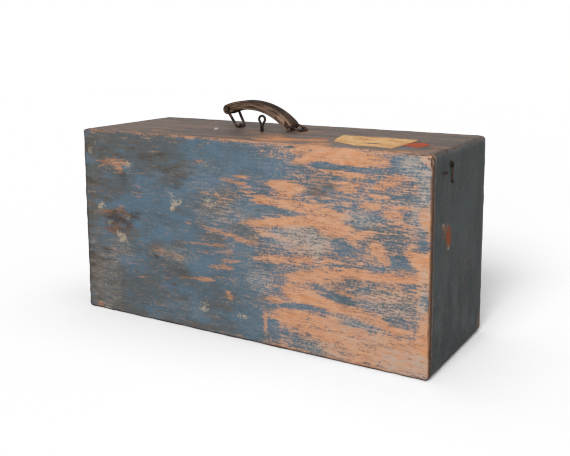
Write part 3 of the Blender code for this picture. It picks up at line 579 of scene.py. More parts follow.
# Finishes: the function that makes each, and what it is made with besides its name and the shades
FINISHES = {
    "oil_paint_on_long_pine": (painted_wood, ALONG_X, ("blue", "blue_deep", "slate", "red")),
    "oil_paint_on_end_pine": (painted_wood, ALONG_Z, ("end_paint", "end_deep", "end_low", "flake")),
    "bare_long_pine": (bare_pine, ALONG_X, "pale_wood", "inner_wood"),
    "bare_end_pine": (bare_pine, ALONG_Z, "pale_wood", "inner_wood"),
    # The sawn seam is dark: browned, dirty wood, and painted shade in the narrow gap between lid and base
    "sawn_long_pine": (bare_pine, ALONG_X, "dark_wood", "grime"),
    "sawn_end_pine": (bare_pine, ALONG_Z, "dark_wood", "grime"),
    "forged_iron_wire": (forged_iron, "iron", "rust"),
    "dull_nail_iron": (forged_iron, "film", "old_wood"),
    # The grain side's colours carry painted shade on the grip's upper side
    "bridle_leather": (hide_leather, "leather", "leather_worn", 0.15),
    "cut_leather": (hide_leather, "leather_side", "leather_edge", 0.9),
    "waxed_thread": (plain_fibre, "thread", "leather_side", 0.8),
    "label_paper": (plain_fibre, "paper", "paper_stain", 2.6),
    "red_paper": (plain_fibre, "red", "flake", 1.5),
    "white_paper": (plain_fibre, "scrap", "haze", 1.5),
}


def finish(name):
    """A finish by name, made the first time that it is asked for."""
    found = bpy.data.materials.get(name)
    if found:
        return found
    colours = bpy.context.scene.suitcase_colours
    shades = {key: (*getattr(colours, key), 1.0) for key in SuitcaseColours.__annotations__}
    maker, *inputs = FINISHES[name]
    return maker(name, shades, *inputs)


def new_object(name, data):
    """A new object in the scene."""
    obj = bpy.data.objects.new(name, data)
    bpy.context.scene.collection.objects.link(obj)
    return obj


def new_piece(name, mesh, body, *nodes, slot=None, materials=()):
    """Puts a mesh in the scene as a piece that rides on a body and stands for CAD nodes."""
    piece = new_object(name, mesh)
    for material in materials:
        mesh.materials.append(material)
    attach(piece, body)
    if nodes:
        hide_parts(*nodes)
    return piece


def plain_mesh(bm, name):
    """A mesh from an edit mesh, which is then freed."""
    mesh = bpy.data.meshes.new(name)
    bm.to_mesh(mesh)
    bm.free()
    return mesh


def smooth_mesh(bm, name, angle=35):
    """A mesh that is smooth but for edges sharper than so many degrees."""
    mesh = plain_mesh(bm, name)
    mesh.shade_smooth()
    mesh.set_sharp_from_angle(angle=math.radians(angle))
    return mesh


def slice_across(bm, place, normal, dist=MERGE):
    """Cuts an edit mesh's faces along a plane."""
    geometry = bm.verts[:] + bm.edges[:] + bm.faces[:]
    bmesh.ops.bisect_plane(bm, geom=geometry, plane_co=place, plane_no=normal, dist=dist)


def join_rows(bm, rows, closed, turn=0):
    """Faces between rows of points, each a ring; the last may meet the first one turned by some places."""
    pairs = list(zip(rows, rows[1:]))
    if closed:
        pairs.append((rows[-1], rows[0][turn:] + rows[0][:turn]))
    for first, second in pairs:
        for k in range(len(first)):
            n = (k + 1) % len(first)
            bm.faces.new((first[k], first[n], second[n], second[k]))
    if not closed:
        bm.faces.new(rows[0][::-1])
        bm.faces.new(rows[-1])
    bmesh.ops.recalc_face_normals(bm, faces=bm.faces)


# Boards

# Ways that the case's sides face, in the order of its outer planes
DIRECTIONS = {
    "right": (1, 0, 0),
    "left": (-1, 0, 0),
    "back": (0, 1, 0),
    "front": (0, -1, 0),
    "top": (0, 0, 1),
    "under": (0, 0, -1),
}
OUTWARD = np.array(list(DIRECTIONS.values()), float)

# A point or a face is outside if it lies this near to an outer plane, and a face also turns this far to it
OUTER_POINT = 0.004
OUTER_FACE = 0.0026
OUTER_TURN = 0.25
# How near to the seam's middle its sawn faces lie
SAWN_NEAR = 0.001

# Worn edges: how far in they reach, how soon their paint comes back, and the round of the four corners
EDGE_REACH = 0.012
EDGE_FADE = 0.0055
CORNER_ROUND = 0.009
# Knocks along an edge: how many go into a metre, and their middle depth, its swing and the most of it,
# as shares of the edge's wear
KNOCKS = 45
KNOCK_MIDDLE, KNOCK_SWING, KNOCK_MOST = 0.5, 0.9, 1.5
# The bare wood, age and grime that an edge's wear brings to each side
EDGE_WEAR = np.array(
    [
        (0.62, 0.6, 0.15),
        (0.62, 0.6, 0.15),
        (0.6, 0.6, 0.15),
        (0.42, -0.1, 0.0),
        (0.4, 0.05, 0.05),
        (0.6, 0.7, 0.2),
    ]
)

# A brush mark ends at this share of its half size, and has its full weight this much farther in
STROKE_END = 1.3
STROKE_FADE = 0.55
# Where the front panel's edge begins, in mm to the front
LIP = (100, 102)


def cut_copy(node, cuts):
    """A merged copy of a board, cut into a grid of that many mm."""
    bm = bmesh.new()
    bm.from_mesh(frame["nodes"][node].data)
    bmesh.ops.remove_doubles(bm, verts=bm.verts, dist=MERGE)
    low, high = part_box(node)
    for axis, step in enumerate(cuts):
        if not step:
            continue
        normal = Vector([1.0 if i == axis else 0.0 for i in range(3)])
        for place in np.arange(low[axis] + step * MM, high[axis] - step * MM / 2, step * MM):
            slice_across(bm, normal * place, normal)
    return bm


def outer_depths(points):
    """How far points lie inside the six outer planes: right, left, back, front, top, bottom."""
    x, y, z = points.T
    to_ends, to_faces = [HALF_LENGTH - x, HALF_LENGTH + x], [HALF_DEPTH - y, HALF_DEPTH + y]
    return np.stack(to_ends + to_faces + [HEIGHT - z, z], 1)


def read(items, key, width):
    """A mesh's values as an array with one row for each item."""
    values = np.zeros(len(items) * width)
    items.foreach_get(key, values)
    return values.reshape(-1, width)


def round_corners(points):
    """Pulls points at the four corners that the long boards make with the ends onto a round."""
    middle = np.array([0.0, HEIGHT / 2])
    inner = np.array([HALF_LENGTH, HEIGHT / 2]) - CORNER_ROUND
    out = points[:, [0, 2]] - middle
    past = np.maximum(np.abs(out) - inner, 0)
    reach = np.maximum(np.hypot(*past.T), CORNER_ROUND)[:, None]
    corner = past.min(axis=1) > 0
    out[corner] = (np.sign(out) * (inner + past * CORNER_ROUND / reach))[corner]
    points[:, [0, 2]] = out + middle


def wear_edges(mesh, depth):
    """Pushes the points near an outer edge in by an uneven amount, as knocks and rubbing do."""
    points, normals = read(mesh.vertices, "co", 3), read(mesh.vertices, "normal", 3)
    round_corners(points)
    depths = np.sort(outer_depths(points), axis=1)
    for i in np.flatnonzero((depths[:, 0] < OUTER_POINT) & (depths[:, 1] < EDGE_REACH)):
        near = (1 - depths[i, 1] / EDGE_REACH) ** 2
        rough = KNOCK_MIDDLE + KNOCK_SWING * noise.fractal(Vector(points[i]) * KNOCKS, 0.8, 2.0, 3)
        points[i] -= normals[i] * depth * near * max(0.0, min(KNOCK_MOST, rough))
    mesh.vertices.foreach_set("co", points.ravel())
    mesh.update()


def stroke(places, first, second, half_length, half_height, weight, tilt=0):
    """One brush mark at places in mm: its weight in the middle, fading out round its outline."""
    turn = math.radians(tilt)
    a, b = places[:, 0] - first, places[:, 1] - second
    along = (a * math.cos(turn) + b * math.sin(turn)) / half_length
    across = (b * math.cos(turn) - a * math.sin(turn)) / half_height
    return weight * np.clip((STROKE_END - np.hypot(along, across)) / STROKE_FADE, 0, 1)


def brushed(places, marks):
    """The sum of brush marks at places in mm."""
    return sum((stroke(places, *mark) for mark in marks), np.zeros(len(places)))


def step_up(values, low, high):
    """A smooth rise from 0 to 1 between two values."""
    share = np.clip((values - low) / (high - low), 0, 1)
    return share * share * (3 - 2 * share)


def front_fields(x, z):
    """Wear, marks and soil on the front, whose right half is the more rubbed one."""
    place = np.stack([x, z], 1)
    right = step_up(x, -60, 110)
    bare = -0.25 + 0.6 * right + (1.05 - 0.3 * right) * np.tanh(brushed(place, FRONT_BARE) / 0.6)
    age = 0.35 * (1 - right) + brushed(place, FRONT_OLD)
    grime = 0.16 - 0.1 * right + 1.6 * brushed(place, FRONT_GRIME)
    # Darker in a narrow band along the bottom edge, and along the left edge
    grime += 0.9 * step_up(-z, -5, -1) + 0.7 * step_up(-x, 293, 299)
    haze = 0.08 + 0.22 * right + brushed(place, FRONT_HAZE)
    grey = 0.5 - 0.25 * right + brushed(place, FRONT_GREY)
    film = 0.05 + 0.1 * (1 - right) + brushed(place, FRONT_FILM)
    return (bare, age, grime), (0.9 * brushed(place, FRONT_PUTTY), haze, 0), (0, grey, film)


def top_fields(x, y):
    """Wear, marks and soil on the top, which is the dirtiest side."""
    place = np.stack([x, y], 1)
    lip = step_up(-y, *LIP)
    bare = -0.1 + brushed(place, TOP_BARE)
    age = 0.3 - brushed(place, TOP_FRESH) - 0.2 * lip
    grime = 0.12 + brushed(place, TOP_GRIME)
    soiled = 0.97 - brushed(place, TOP_CLEAN)
    return (bare, age, grime), (0, 0.03 + 0.3 * lip, brushed(place, TOP_RED)), (soiled, 0.4, 0)


def right_fields(y, z):
    """Wear, marks and soil on the right end, which is darker near the floor."""
    place = np.stack([y, z], 1)
    lip = step_up(-y, *LIP)
    bare = -0.45 + brushed(place, END_BARE) + 1.2 * lip
    # Darker towards the bottom: more grime below 170 mm, and more of the low end paint below 230 mm
    grime = 0.1 + 0.5 * lip + 0.3 * step_up(-z, -170, 0)
    marks = brushed(place, END_PUTTY), 0.02 + brushed(place, END_HAZE), brushed(place, END_FLAKE)
    lower_darkening = -0.4 + 1.3 * step_up(-z, -230, -10)
    return (bare, 0.5 + 0.5 * lip, grime), marks, (0.04, lower_darkening, 0.1)


def face_fields(points):
    """Wear, marks and soil for each side: three sets of three, for each point or the same for all."""
    x, y, z = (points / MM).T
    return {
        "front": front_fields(x, z),
        "top": top_fields(x, y),
        "right": right_fields(y, z),
        "left": ((-0.2, 0.5, 0.15), (0, 0.05, 0), (0.1, 0, 0)),
        "back": ((-0.1, 0.2, 0.15), (0, 0.12, 0), (0.12, 0.3, 0.2)),
        "under": ((0.4, 0.7, 0.3), (0, 0, 0), (0.6, 0, 0)),
    }


def lay_paint(mesh):
    """Writes the wear, marks and soil attributes from where each point is and which way it faces."""
    points, normals = read(mesh.vertices, "co", 3), read(mesh.vertices, "normal", 3)
    sides = face_fields(points)
    shares = np.clip(normals @ OUTWARD.T, 0, 1) ** 2
    shares /= np.maximum(shares.sum(1, keepdims=True), 1e-6)
    depths = np.sort(outer_depths(points), axis=1)
    edge = np.exp(-((depths[:, 1] / EDGE_FADE) ** 2)) * (depths[:, 0] < OUTER_POINT)
    for number, name in enumerate(FIELDS):
        values = np.zeros((len(points), 4))
        values[:, 3] = 1
        for share, direction in zip(shares.T, DIRECTIONS):
            for channel, field in enumerate(sides[direction][number]):
                values[:, channel] += share * field
        if name == "wear":
            values[:, :3] += edge[:, None] * (shares @ EDGE_WEAR)
        attribute = mesh.attributes.new(name, "FLOAT_COLOR", "POINT")
        attribute.data.foreach_set("color", np.clip(values, -1, 2).ravel())


def mark_inner_faces(mesh):
    """Gives the second material to the faces inside the case, and the third to the sawn seam, whose dark
    colour is partly painted shade in the gap.
    """
    centres = read(mesh.polygons, "center", 3)
    facing = read(mesh.polygons, "normal", 3) @ OUTWARD.T
    outside = ((outer_depths(centres) < OUTER_FACE) & (facing > OUTER_TURN)).any(1)
    sawn = (np.abs(centres[:, 1] - SEAM_Y) < SAWN_NEAR) & ~outside
    mesh.polygons.foreach_set("material_index", np.where(outside, 0, np.where(sawn, 2, 1)))


def make_board(node):
    """A worn board: cut finely, rubbed at its outer edges, painted outside and bare inside."""
    kind = "end" if "left" in node or "right" in node else "long"
    mesh = smooth_mesh(cut_copy(node, BOARD_CUTS[node]), f"worn_{node}")
    for surface in ("oil_paint_on", "bare", "sawn"):
        mesh.materials.append(finish(f"{surface}_{kind}_pine"))
    mark_inner_faces(mesh)
    wear_edges(mesh, bpy.context.scene.suitcase_sizes.edge_wear)
    lay_paint(mesh)
    return new_piece(f"worn_{node}", mesh, BODY_OF[node], node, slot="worn_blue_paint")


class SUITCASE_OT_boards(bpy.types.Operator):
    """Makes the worn boards and panels."""

    bl_idname = "suitcase.boards"
    bl_label = "Worn boards"

    def execute(self, context):
        for node in BOARD_CUTS:
            make_board(node)
        return {"FINISHED"}


# Ironwork

# Wire: the distance between its rings of points, its sides, and how far and how finely it is uneven
WIRE_STEP = 0.0016
WIRE_SIDES = 14
WIRE_SWELL = 0.04
WIRE_LUMPS = 420

# Legs that are clenched under the top: their gap to it, their reach and their bend
CLENCH_GAP = 0.0003
CLENCH_REACH = 0.008
CLENCH_BEND = 0.002

# How far a staple stands off the wire in it, and where the lock eye's loop begins, in degrees
STAPLE_PLAY = 0.0004
EYE_START = -48

# A screw's slot: half its width, how near to its middle the faces are that sink, its floor above the
# head's underside, and how it is turned
SLOT_HALF = 0.00036
SLOT_NEAR = 0.0003
SLOT_FLOOR = 0.0008
SLOT_TURN = 0.6


def arc(centre, radius, first, last, steps):
    """Points on part of a circle in a plane."""
    angles = [first + (last - first) * i / steps for i in range(steps + 1)]
    return [(centre[0] + radius * math.cos(a), centre[1] + radius * math.sin(a)) for a in angles]


def closer(points, gap, closed):
    """The same path with no two points farther apart than a gap."""
    pairs = list(zip(points, points[1:] + points[:1] if closed else points[1:]))
    path = []
    for first, second in pairs:
        steps = max(1, math.ceil((second - first).length / gap))
        path += [first.lerp(second, i / steps) for i in range(steps)]
    return path if closed else path + [points[-1]]


def wire_mesh(name, points, radius, closed=False):
    """A bent wire along a path; its skin is a little uneven, as drawn and rusted wire is."""
    path = closer([Vector(p) for p in points], WIRE_STEP, closed)
    count = len(path)
    side = None
    bm = bmesh.new()
    rings = []
    for i, point in enumerate(path):
        before = path[i - 1] if i or closed else point
        after = path[(i + 1) % count] if i + 1 < count or closed else point
        along = (after - before).normalized()
        side = along.orthogonal() if side is None else side - along * side.dot(along)
        side.normalize()
        other = along.cross(side)
        ring = []
        for k in range(WIRE_SIDES):
            turn = 2 * math.pi * k / WIRE_SIDES
            out = side * math.cos(turn) + other * math.sin(turn)
            swell = 1 + WIRE_SWELL * noise.noise((point + out * radius) * WIRE_LUMPS)
            ring.append(bm.verts.new(point + out * radius * swell))
        rings.append(ring)
    join_rows(bm, rings, closed, nearest_turn(rings[-1], rings[0]) if closed else 0)
    return smooth_mesh(bm, name, 50)


def nearest_turn(first, second):
    """How many places the second ring of points is turned against the first one."""
    gaps = [(first[0].co - vert.co).length for vert in second]
    return gaps.index(min(gaps))


def upright(path, x, y, z):
    """A plane path stood up in X and Z at a place."""
    return [(x + a, y, z + b) for a, b in path]


def ring_path(side):
    """A handle ring as it lies: a loop of wire, wider at the grip, leaning from its staple."""
    reach, lean = RING_LENGTH[side], LEANS[side]
    slant = math.atan2((RING_WIDTH - RING_FOOT) / 2, reach)
    turn = math.pi / 2 + slant
    far = RING_WIDTH / 2 - RING_CORNER * (1 + math.sin(slant)) / math.cos(slant)
    near = RING_FOOT / 2 - RING_CORNER * (1 - math.sin(slant)) / math.cos(slant)
    half = arc((reach - RING_CORNER, far), RING_CORNER, 0.0, turn, 6)
    half += arc((RING_CORNER, near), RING_CORNER, turn, math.pi, 6)
    path = half + [(a, -b) for a, b in reversed(half)]
    return [(STAPLE_X[side] + a * math.cos(lean), HANDLE_Y + b, BAR_Z + a * math.sin(lean)) for a, b in path]


def clenched_legs(spread, width, top_z):
    """Two legs through the top board, bent over below it: a path up the right one, and one down the left."""
    below = top_z - BOARD - CLENCH_GAP - width / 2
    bend = arc((spread + CLENCH_BEND, below + CLENCH_BEND), CLENCH_BEND, 1.5 * math.pi, math.pi, 5)
    right = [(spread + CLENCH_REACH, below)] + bend
    return right, [(-a, b) for a, b in reversed(right)]


def staple_path(side):
    """A staple over a ring's bar."""
    crown = (RING_WIRE + STAPLE_WIRE) / 2 + STAPLE_PLAY
    right, left = clenched_legs(crown, STAPLE_WIRE, HEIGHT - BAR_Z)
    return upright(right + arc((0, 0), crown, 0, math.pi, 14) + left, STAPLE_X[side], HANDLE_Y, BAR_Z)


def eye_path():
    """The split pin's eye and legs."""
    spread = (EYE_WIRE + EYE_LEG_GAP) / 2
    right, left = clenched_legs(spread, EYE_WIRE, 0.0)
    throat = EYE_RISE - 1.5 * EYE_RADIUS
    waist = [(spread, throat - EYE_WIRE), (spread * 1.15, throat)]
    first = math.radians(EYE_START)
    loop = arc((0, EYE_RISE), EYE_RADIUS, first, math.pi - first, 26)
    path = right + waist + loop + [(-a, b) for a, b in reversed(waist)] + left
    return upright(path, EYE_X, EYE_Y, HEIGHT)


def hook_path(sign):
    """A hook as it hangs from its screw."""
    bend = HOOK_EYE + HOOK_BEND
    tip = [(bend + HOOK_TIP, -HOOK_REACH)]
    foot = arc((bend, HOOK_BEND - HOOK_REACH), HOOK_BEND, 1.5 * math.pi, math.pi, 8)
    eye = arc((0, 0), HOOK_EYE, 0, 1.5 * math.pi, 20)
    x = sign * (HALF_LENGTH + HOOK_GAP + HOOK_WIRE / 2)
    return [(x, HOOK_Y + a, HOOK_Z + b) for a, b in tip + foot + eye]


def catch_path(sign):
    """The staple in the lid that a hook drops into."""
    stand = 2 * HOOK_GAP + HOOK_WIRE + CATCH_PLAY + CATCH_WIRE / 2
    half, corner = CATCH_SPAN / 2, CATCH_WIRE
    right = [(-CATCH_LEG, half)] + arc((stand - corner, half - corner), corner, math.pi / 2, 0, 6)
    path = right + [(a, -b) for a, b in reversed(right)]
    place = HOOK_Z - HOOK_EYE - HOOK_BEND - HOOK_TIP / 2
    return [(sign * (HALF_LENGTH + a), HOOK_Y - HOOK_REACH + b, place) for a, b in path]


def screw_mesh(name, sign):
    """A round-headed screw with a slot across its head."""
    under = 2 * HOOK_GAP + HOOK_WIRE
    dome = arc((0, 0), 1.0, math.pi / 2, 0, 8)
    profile = [(SCREW_HEAD * a, under + SCREW_DOME * b) for a, b in dome]
    profile += [(SCREW_SHANK, under), (SCREW_SHANK, -SCREW_TAPER), (0.0, -SCREW_LENGTH)]
    bm = bmesh.new()
    verts = [bm.verts.new((r, 0, h)) for r, h in profile]
    edges = [bm.edges.new(pair) for pair in zip(verts, verts[1:])]
    turn = {"axis": (0, 0, 1), "cent": (0, 0, 0), "steps": 28, "angle": 2 * math.pi}
    bmesh.ops.spin(bm, geom=verts + edges, **turn)
    bmesh.ops.remove_doubles(bm, verts=bm.verts, dist=MERGE)
    bmesh.ops.recalc_face_normals(bm, faces=bm.faces)
    cut_slot(bm, under)
    place = Matrix.Translation((sign * HALF_LENGTH, HOOK_Y, HOOK_Z))
    outward = Matrix.Rotation(sign * math.pi / 2, 4, "Y")
    turned = place @ outward @ Matrix.Rotation(SLOT_TURN, 4, "Z")
    bmesh.ops.transform(bm, matrix=turned, verts=bm.verts)
    return smooth_mesh(bm, name, 40)


def cut_slot(bm, under):
    """Sinks a straight slot into a screw's head."""
    for place in (-SLOT_HALF, SLOT_HALF):
        slice_across(bm, (place, 0, 0), (1, 0, 0), MERGE_FINE)
    floor = [f for f in bm.faces if abs(f.calc_center_median().x) < SLOT_NEAR and f.normal.z > 0.2]
    sunk = bmesh.ops.extrude_face_region(bm, geom=floor)["geom"]
    bmesh.ops.delete(bm, geom=floor, context="FACES_ONLY")
    for vert in [item for item in sunk if isinstance(item, bmesh.types.BMVert)]:
        vert.co.z = min(vert.co.z, under + SLOT_FLOOR)
    bmesh.ops.remove_doubles(bm, verts=bm.verts, dist=MERGE_FINE)


def iron_pieces():
    """Every iron piece that is made anew: its CAD node and its mesh."""
    made = {"lock_eye": wire_mesh("lock_eye_pin", eye_path(), EYE_WIRE / 2)}
    for side, sign in SIDES.items():
        made[f"handle_{side}_ring"] = wire_mesh(f"{side}_wire_ring", ring_path(side), RING_WIRE / 2, True)
        made[f"handle_{side}_staple"] = wire_mesh(f"{side}_wire_staple", staple_path(side), STAPLE_WIRE / 2)
        made[f"{side}_hook"] = wire_mesh(f"{side}_wire_hook", hook_path(sign), HOOK_WIRE / 2)
        made[f"{side}_hook_catch"] = wire_mesh(f"{side}_wire_catch", catch_path(sign), CATCH_WIRE / 2)
        made[f"{side}_hook_screw"] = screw_mesh(f"{side}_slotted_screw", sign)
    return made


class SUITCASE_OT_ironwork(bpy.types.Operator):
    """Bends the wire pieces and turns the screws, and gives the hinges their finish."""

    bl_idname = "suitcase.ironwork"
    bl_label = "Ironwork"

    def execute(self, context):
        iron = finish("forged_iron_wire")
        for node, mesh in iron_pieces().items():
            new_piece(mesh.name, mesh, BODY_OF[node], node, slot="rusted_iron", materials=[iron])
        for node, obj in frame["nodes"].items():
            if "hinge" in node:
                obj.data.materials.clear()
                obj.data.materials.append(iron)
        return {"FINISHED"}


# Leather grip

# Rounded edges of the hide, and the faces of its sections that are cut sides
STRAP_BEVEL = 0.0009
PLY_BEVEL = 0.0006
CUT_SIDES = (7, 15)
# How far and how finely the strap's and the plies' sides are uneven
STRAP_SWELL, STRAP_LUMPS = 0.035, 90
PLY_SWELL, PLY_LUMPS = 0.02, 120
# Linings and plies: how far they are pressed into the strap, the linings' thickness, how much narrower
# than the strap each is, and the gap between plies
PRESSED = 0.0002
LINING = 0.002
LINING_NARROWER = 0.0018
PLY_NARROWER = (0.0012, 0.0022, 0.0014)
PLY_GAP = 0.00015
# Where the plies begin and end, from the bars, and the shares of the arch that the linings reach between
PLY_STARTS, PLY_STOPS = 0.0055, 0.0095
LINING_SHARES = {"left": (0.0, 0.05), "right": (1.0, 0.91)}
# Steps along the arch and round its ends
STRAP_STEPS, PLY_STEPS, END_STEPS, LOOP_STEPS = 44, 40, 14, 12


def grip_matrix():
    """From the grip's own plane (along its chord, up, across) to where it lies, and its chord's length."""
    left, right = bar_place("left"), bar_place("right")
    along = (right - left).normalized()
    across = Vector((0, 1, 0))
    matrix = Matrix((along, along.cross(across), across)).transposed().to_4x4()
    matrix.translation = left
    return matrix, (right - left).length


def bar_place(side):
    """The middle of a ring's far bar."""
    reach, lean = RING_LENGTH[side], LEANS[side]
    x = STAPLE_X[side] + reach * math.cos(lean)
    return Vector((x, HANDLE_Y, BAR_Z + reach * math.sin(lean)))


def arch(chord):
    """The arch of the grip's middle line: its radius and half its angle."""
    span = chord + 2 * GRIP_BEYOND
    radius = (span * span / 4 + GRIP_RISE * GRIP_RISE) / (2 * GRIP_RISE)
    return radius, math.asin(span / 2 / radius)


def arch_point(chord, share, offset):
    """A point on the grip's arch: a share of the way along, and so far above its middle line."""
    radius, half_angle = arch(chord)
    angle = math.pi / 2 + half_angle * (1 - 2 * share)
    reach = radius + offset
    height = GRIP_RISE - GRIP_BELOW - radius
    return (chord / 2 + reach * math.cos(angle), height + reach * math.sin(angle))


def half_thick(share):
    """Half the grip's thickness at a share of the way along."""
    return (GRIP_END_THICK + (GRIP_THICK - GRIP_END_THICK) * math.sin(math.pi * share)) / 2


def strap_path(chord, inset):
    """The closed outline of the grip seen from the side, this far inside its skin."""
    slope = math.pi / 2 - arch(chord)[1]
    shares = [i / STRAP_STEPS for i in range(STRAP_STEPS + 1)]
    upper = [arch_point(chord, s, half_thick(s) - inset) for s in shares]
    lower = [arch_point(chord, s, inset - half_thick(s)) for s in reversed(shares)]
    end = GRIP_END_THICK / 2 - inset
    right = arc(arch_point(chord, 1, 0), end, slope, slope - math.pi, END_STEPS)[1:-1]
    left = arc(arch_point(chord, 0, 0), end, 2 * math.pi - slope, math.pi - slope, END_STEPS)[1:-1]
    return upper + right + lower + left


def capsule(first, second, radius):
    """A closed outline at one distance from the line between two points."""
    way = math.atan2(second[1] - first[1], second[0] - first[0])
    start = arc(first, radius, way + math.pi / 2, way + 1.5 * math.pi, LOOP_STEPS)
    return start + arc(second, radius, way - math.pi / 2, way + math.pi / 2, LOOP_STEPS)


def loop_paths(chord, side, thickness):
    """The outer and inner outline of the lining that holds a ring's bar in one end of the strap."""
    first, last = (arch_point(chord, share, 0) for share in LINING_SHARES[side])
    bar = 0.0 if side == "left" else chord
    along, up = LOOP_SLACK[side]
    outer = capsule(first, last, GRIP_END_THICK / 2 - thickness + PRESSED)
    return outer, capsule((bar, 0.0), (bar + along, up), LOOP_RADIUS)


def section(width, height, bevel, steps=3):
    """The outline of a rounded rectangle about its middle."""
    points = []
    for quarter, (a, b) in enumerate([(1, 1), (-1, 1), (-1, -1), (1, -1)]):
        centre = (a * (width / 2 - bevel), b * (height / 2 - bevel))
        points += arc(centre, bevel, quarter * math.pi / 2, (quarter + 1) * math.pi / 2, steps)
    return points


def add_point(bm, place, a, b, across, swell):
    """A point of the grip, with its place in the leather: along, up from the arch's line, and across."""
    matrix, chord = place
    radius, _ = arch(chord)
    up = math.hypot(a - chord / 2, b - (GRIP_RISE - GRIP_BELOW - radius)) - radius
    vert = bm.verts.new(matrix @ Vector((a, b, across * swell)))
    vert[bm.verts.layers.float_vector["lay"]] = Vector((a, up, across))
    return vert


def strap_mesh(name, place, paths, width, thickness):
    """A band of hide between an outer and an inner outline; its cut sides take the second material."""
    shape = section(width, thickness, STRAP_BEVEL)
    bm = bmesh.new()
    bm.verts.layers.float_vector.new("lay")
    rows = []
    for out, into in zip(*paths):
        row = []
        for across, up in shape:
            share = 0.5 - up / thickness
            a, b = (o + (i - o) * share for o, i in zip(out, into))
            swell = 1 + STRAP_SWELL * noise.noise(Vector((a, b, across)) * STRAP_LUMPS)
            row.append(add_point(bm, place, a, b, across, swell))
        rows.append(row)
    join_rows(bm, rows, True)
    for number, face in enumerate(bm.faces):
        face.material_index = int(number % len(shape) in CUT_SIDES)
    return smooth_mesh(bm, name, 45)


def ply_mesh(name, place, thickness, number):
    """One ply of the filling between the strap's two sides."""
    chord = place[1]
    count = len(PLY_NARROWER)
    first, last = PLY_STARTS / chord, 1 - PLY_STOPS / chord
    bm = bmesh.new()
    bm.verts.layers.float_vector.new("lay")
    rows = []
    for i in range(PLY_STEPS + 1):
        share = first + (last - first) * i / PLY_STEPS
        room = 2 * (half_thick(share) - thickness) + PRESSED
        up = -room / 2 + room * number / count + room / count / 2
        shape = section(GRIP_WIDTH - PLY_NARROWER[number], room / count - PLY_GAP, PLY_BEVEL, 2)
        row = []
        for across, height in shape:
            a, b = arch_point(chord, share, up + height)
            swell = 1 + PLY_SWELL * noise.noise(Vector((a, number, across)) * PLY_LUMPS)
            row.append(add_point(bm, place, a, b, across, swell))
        rows.append(row)
    join_rows(bm, rows, False)
    return smooth_mesh(bm, name, 45)


class SUITCASE_OT_grip(bpy.types.Operator):
    """Folds the leather strap round the rings and fills it with plies."""

    bl_idname = "suitcase.grip"
    bl_label = "Leather grip"

    def execute(self, context):
        place = grip_matrix()
        chord = place[1]
        thickness = context.scene.suitcase_sizes.strap
        skin, cut = finish("bridle_leather"), finish("cut_leather")
        paths = strap_path(chord, 0.0), strap_path(chord, thickness)
        strap = strap_mesh("grip_strap", place, paths, GRIP_WIDTH, thickness)
        new_piece(strap.name, strap, "grip", "handle_grip", slot="brown_leather", materials=[skin, cut])
        for side in SIDES:
            paths = loop_paths(chord, side, thickness)
            width = GRIP_WIDTH - LINING_NARROWER
            lining = strap_mesh(f"{side}_loop_lining", place, paths, width, LINING)
            new_piece(lining.name, lining, "grip", slot="brown_leather", materials=[cut, cut])
        for number in range(len(PLY_NARROWER)):
            ply = ply_mesh(f"grip_ply_{number + 1}", place, thickness, number)
            new_piece(ply.name, ply, "grip", slot="brown_leather", materials=[cut])
        return {"FINISHED"}


# Repeats made with Geometry Nodes

# Nails: how far their heads stray, how far in they stand from the panels' edges and ends, and on the ends
# how far from the seam, the back and the front
NAIL_STRAY = 0.0011
NAIL_EDGE, NAIL_END = 0.0065, 0.006
NAIL_SEAM, NAIL_BACK, NAIL_FRONT = 0.012, 0.02, 0.018
# Stitches: the share of the arch where they start, the share that they cover, their line's steps, and
# their distance to the edge
STITCH_START, STITCH_REACH = 0.06, 0.86
STITCH_STEPS = 40
STITCH_EDGE = 0.0024


def new_tree(name, inputs):
    """A Geometry Nodes tree with named inputs: its nodes, its input node, and its output node."""
    tree = bpy.data.node_groups.new(name, "GeometryNodeTree")
    tree.interface.new_socket("Geometry", in_out="INPUT", socket_type="NodeSocketGeometry")
    for label, kind in inputs.items():
        tree.interface.new_socket(label, in_out="INPUT", socket_type=f"NodeSocket{kind}")
    tree.interface.new_socket("Geometry", in_out="OUTPUT", socket_type="NodeSocketGeometry")
    return tree, add(tree, "NodeGroupInput").outputs, add(tree, "NodeGroupOutput")


def set_on_points(tree, exit_node, material, shape, form, **links):
    """Ends a tree: a shape, stretched and smooth, set on points and made real, with its material."""
    formed = add(tree, "GeometryNodeTransform", None, 0, Geometry=shape, **form)
    smooth = add(tree, "GeometryNodeSetShadeSmooth", None, 0, i0=formed)
    set_out = add(tree, "GeometryNodeInstanceOnPoints", None, 0, Instance=smooth, **links)
    real = add(tree, "GeometryNodeRealizeInstances", None, 0, i0=set_out)
    done = add(tree, "GeometryNodeSetMaterial", None, 0, Geometry=real, Material=material)
    feed(tree, exit_node, Geometry=done)


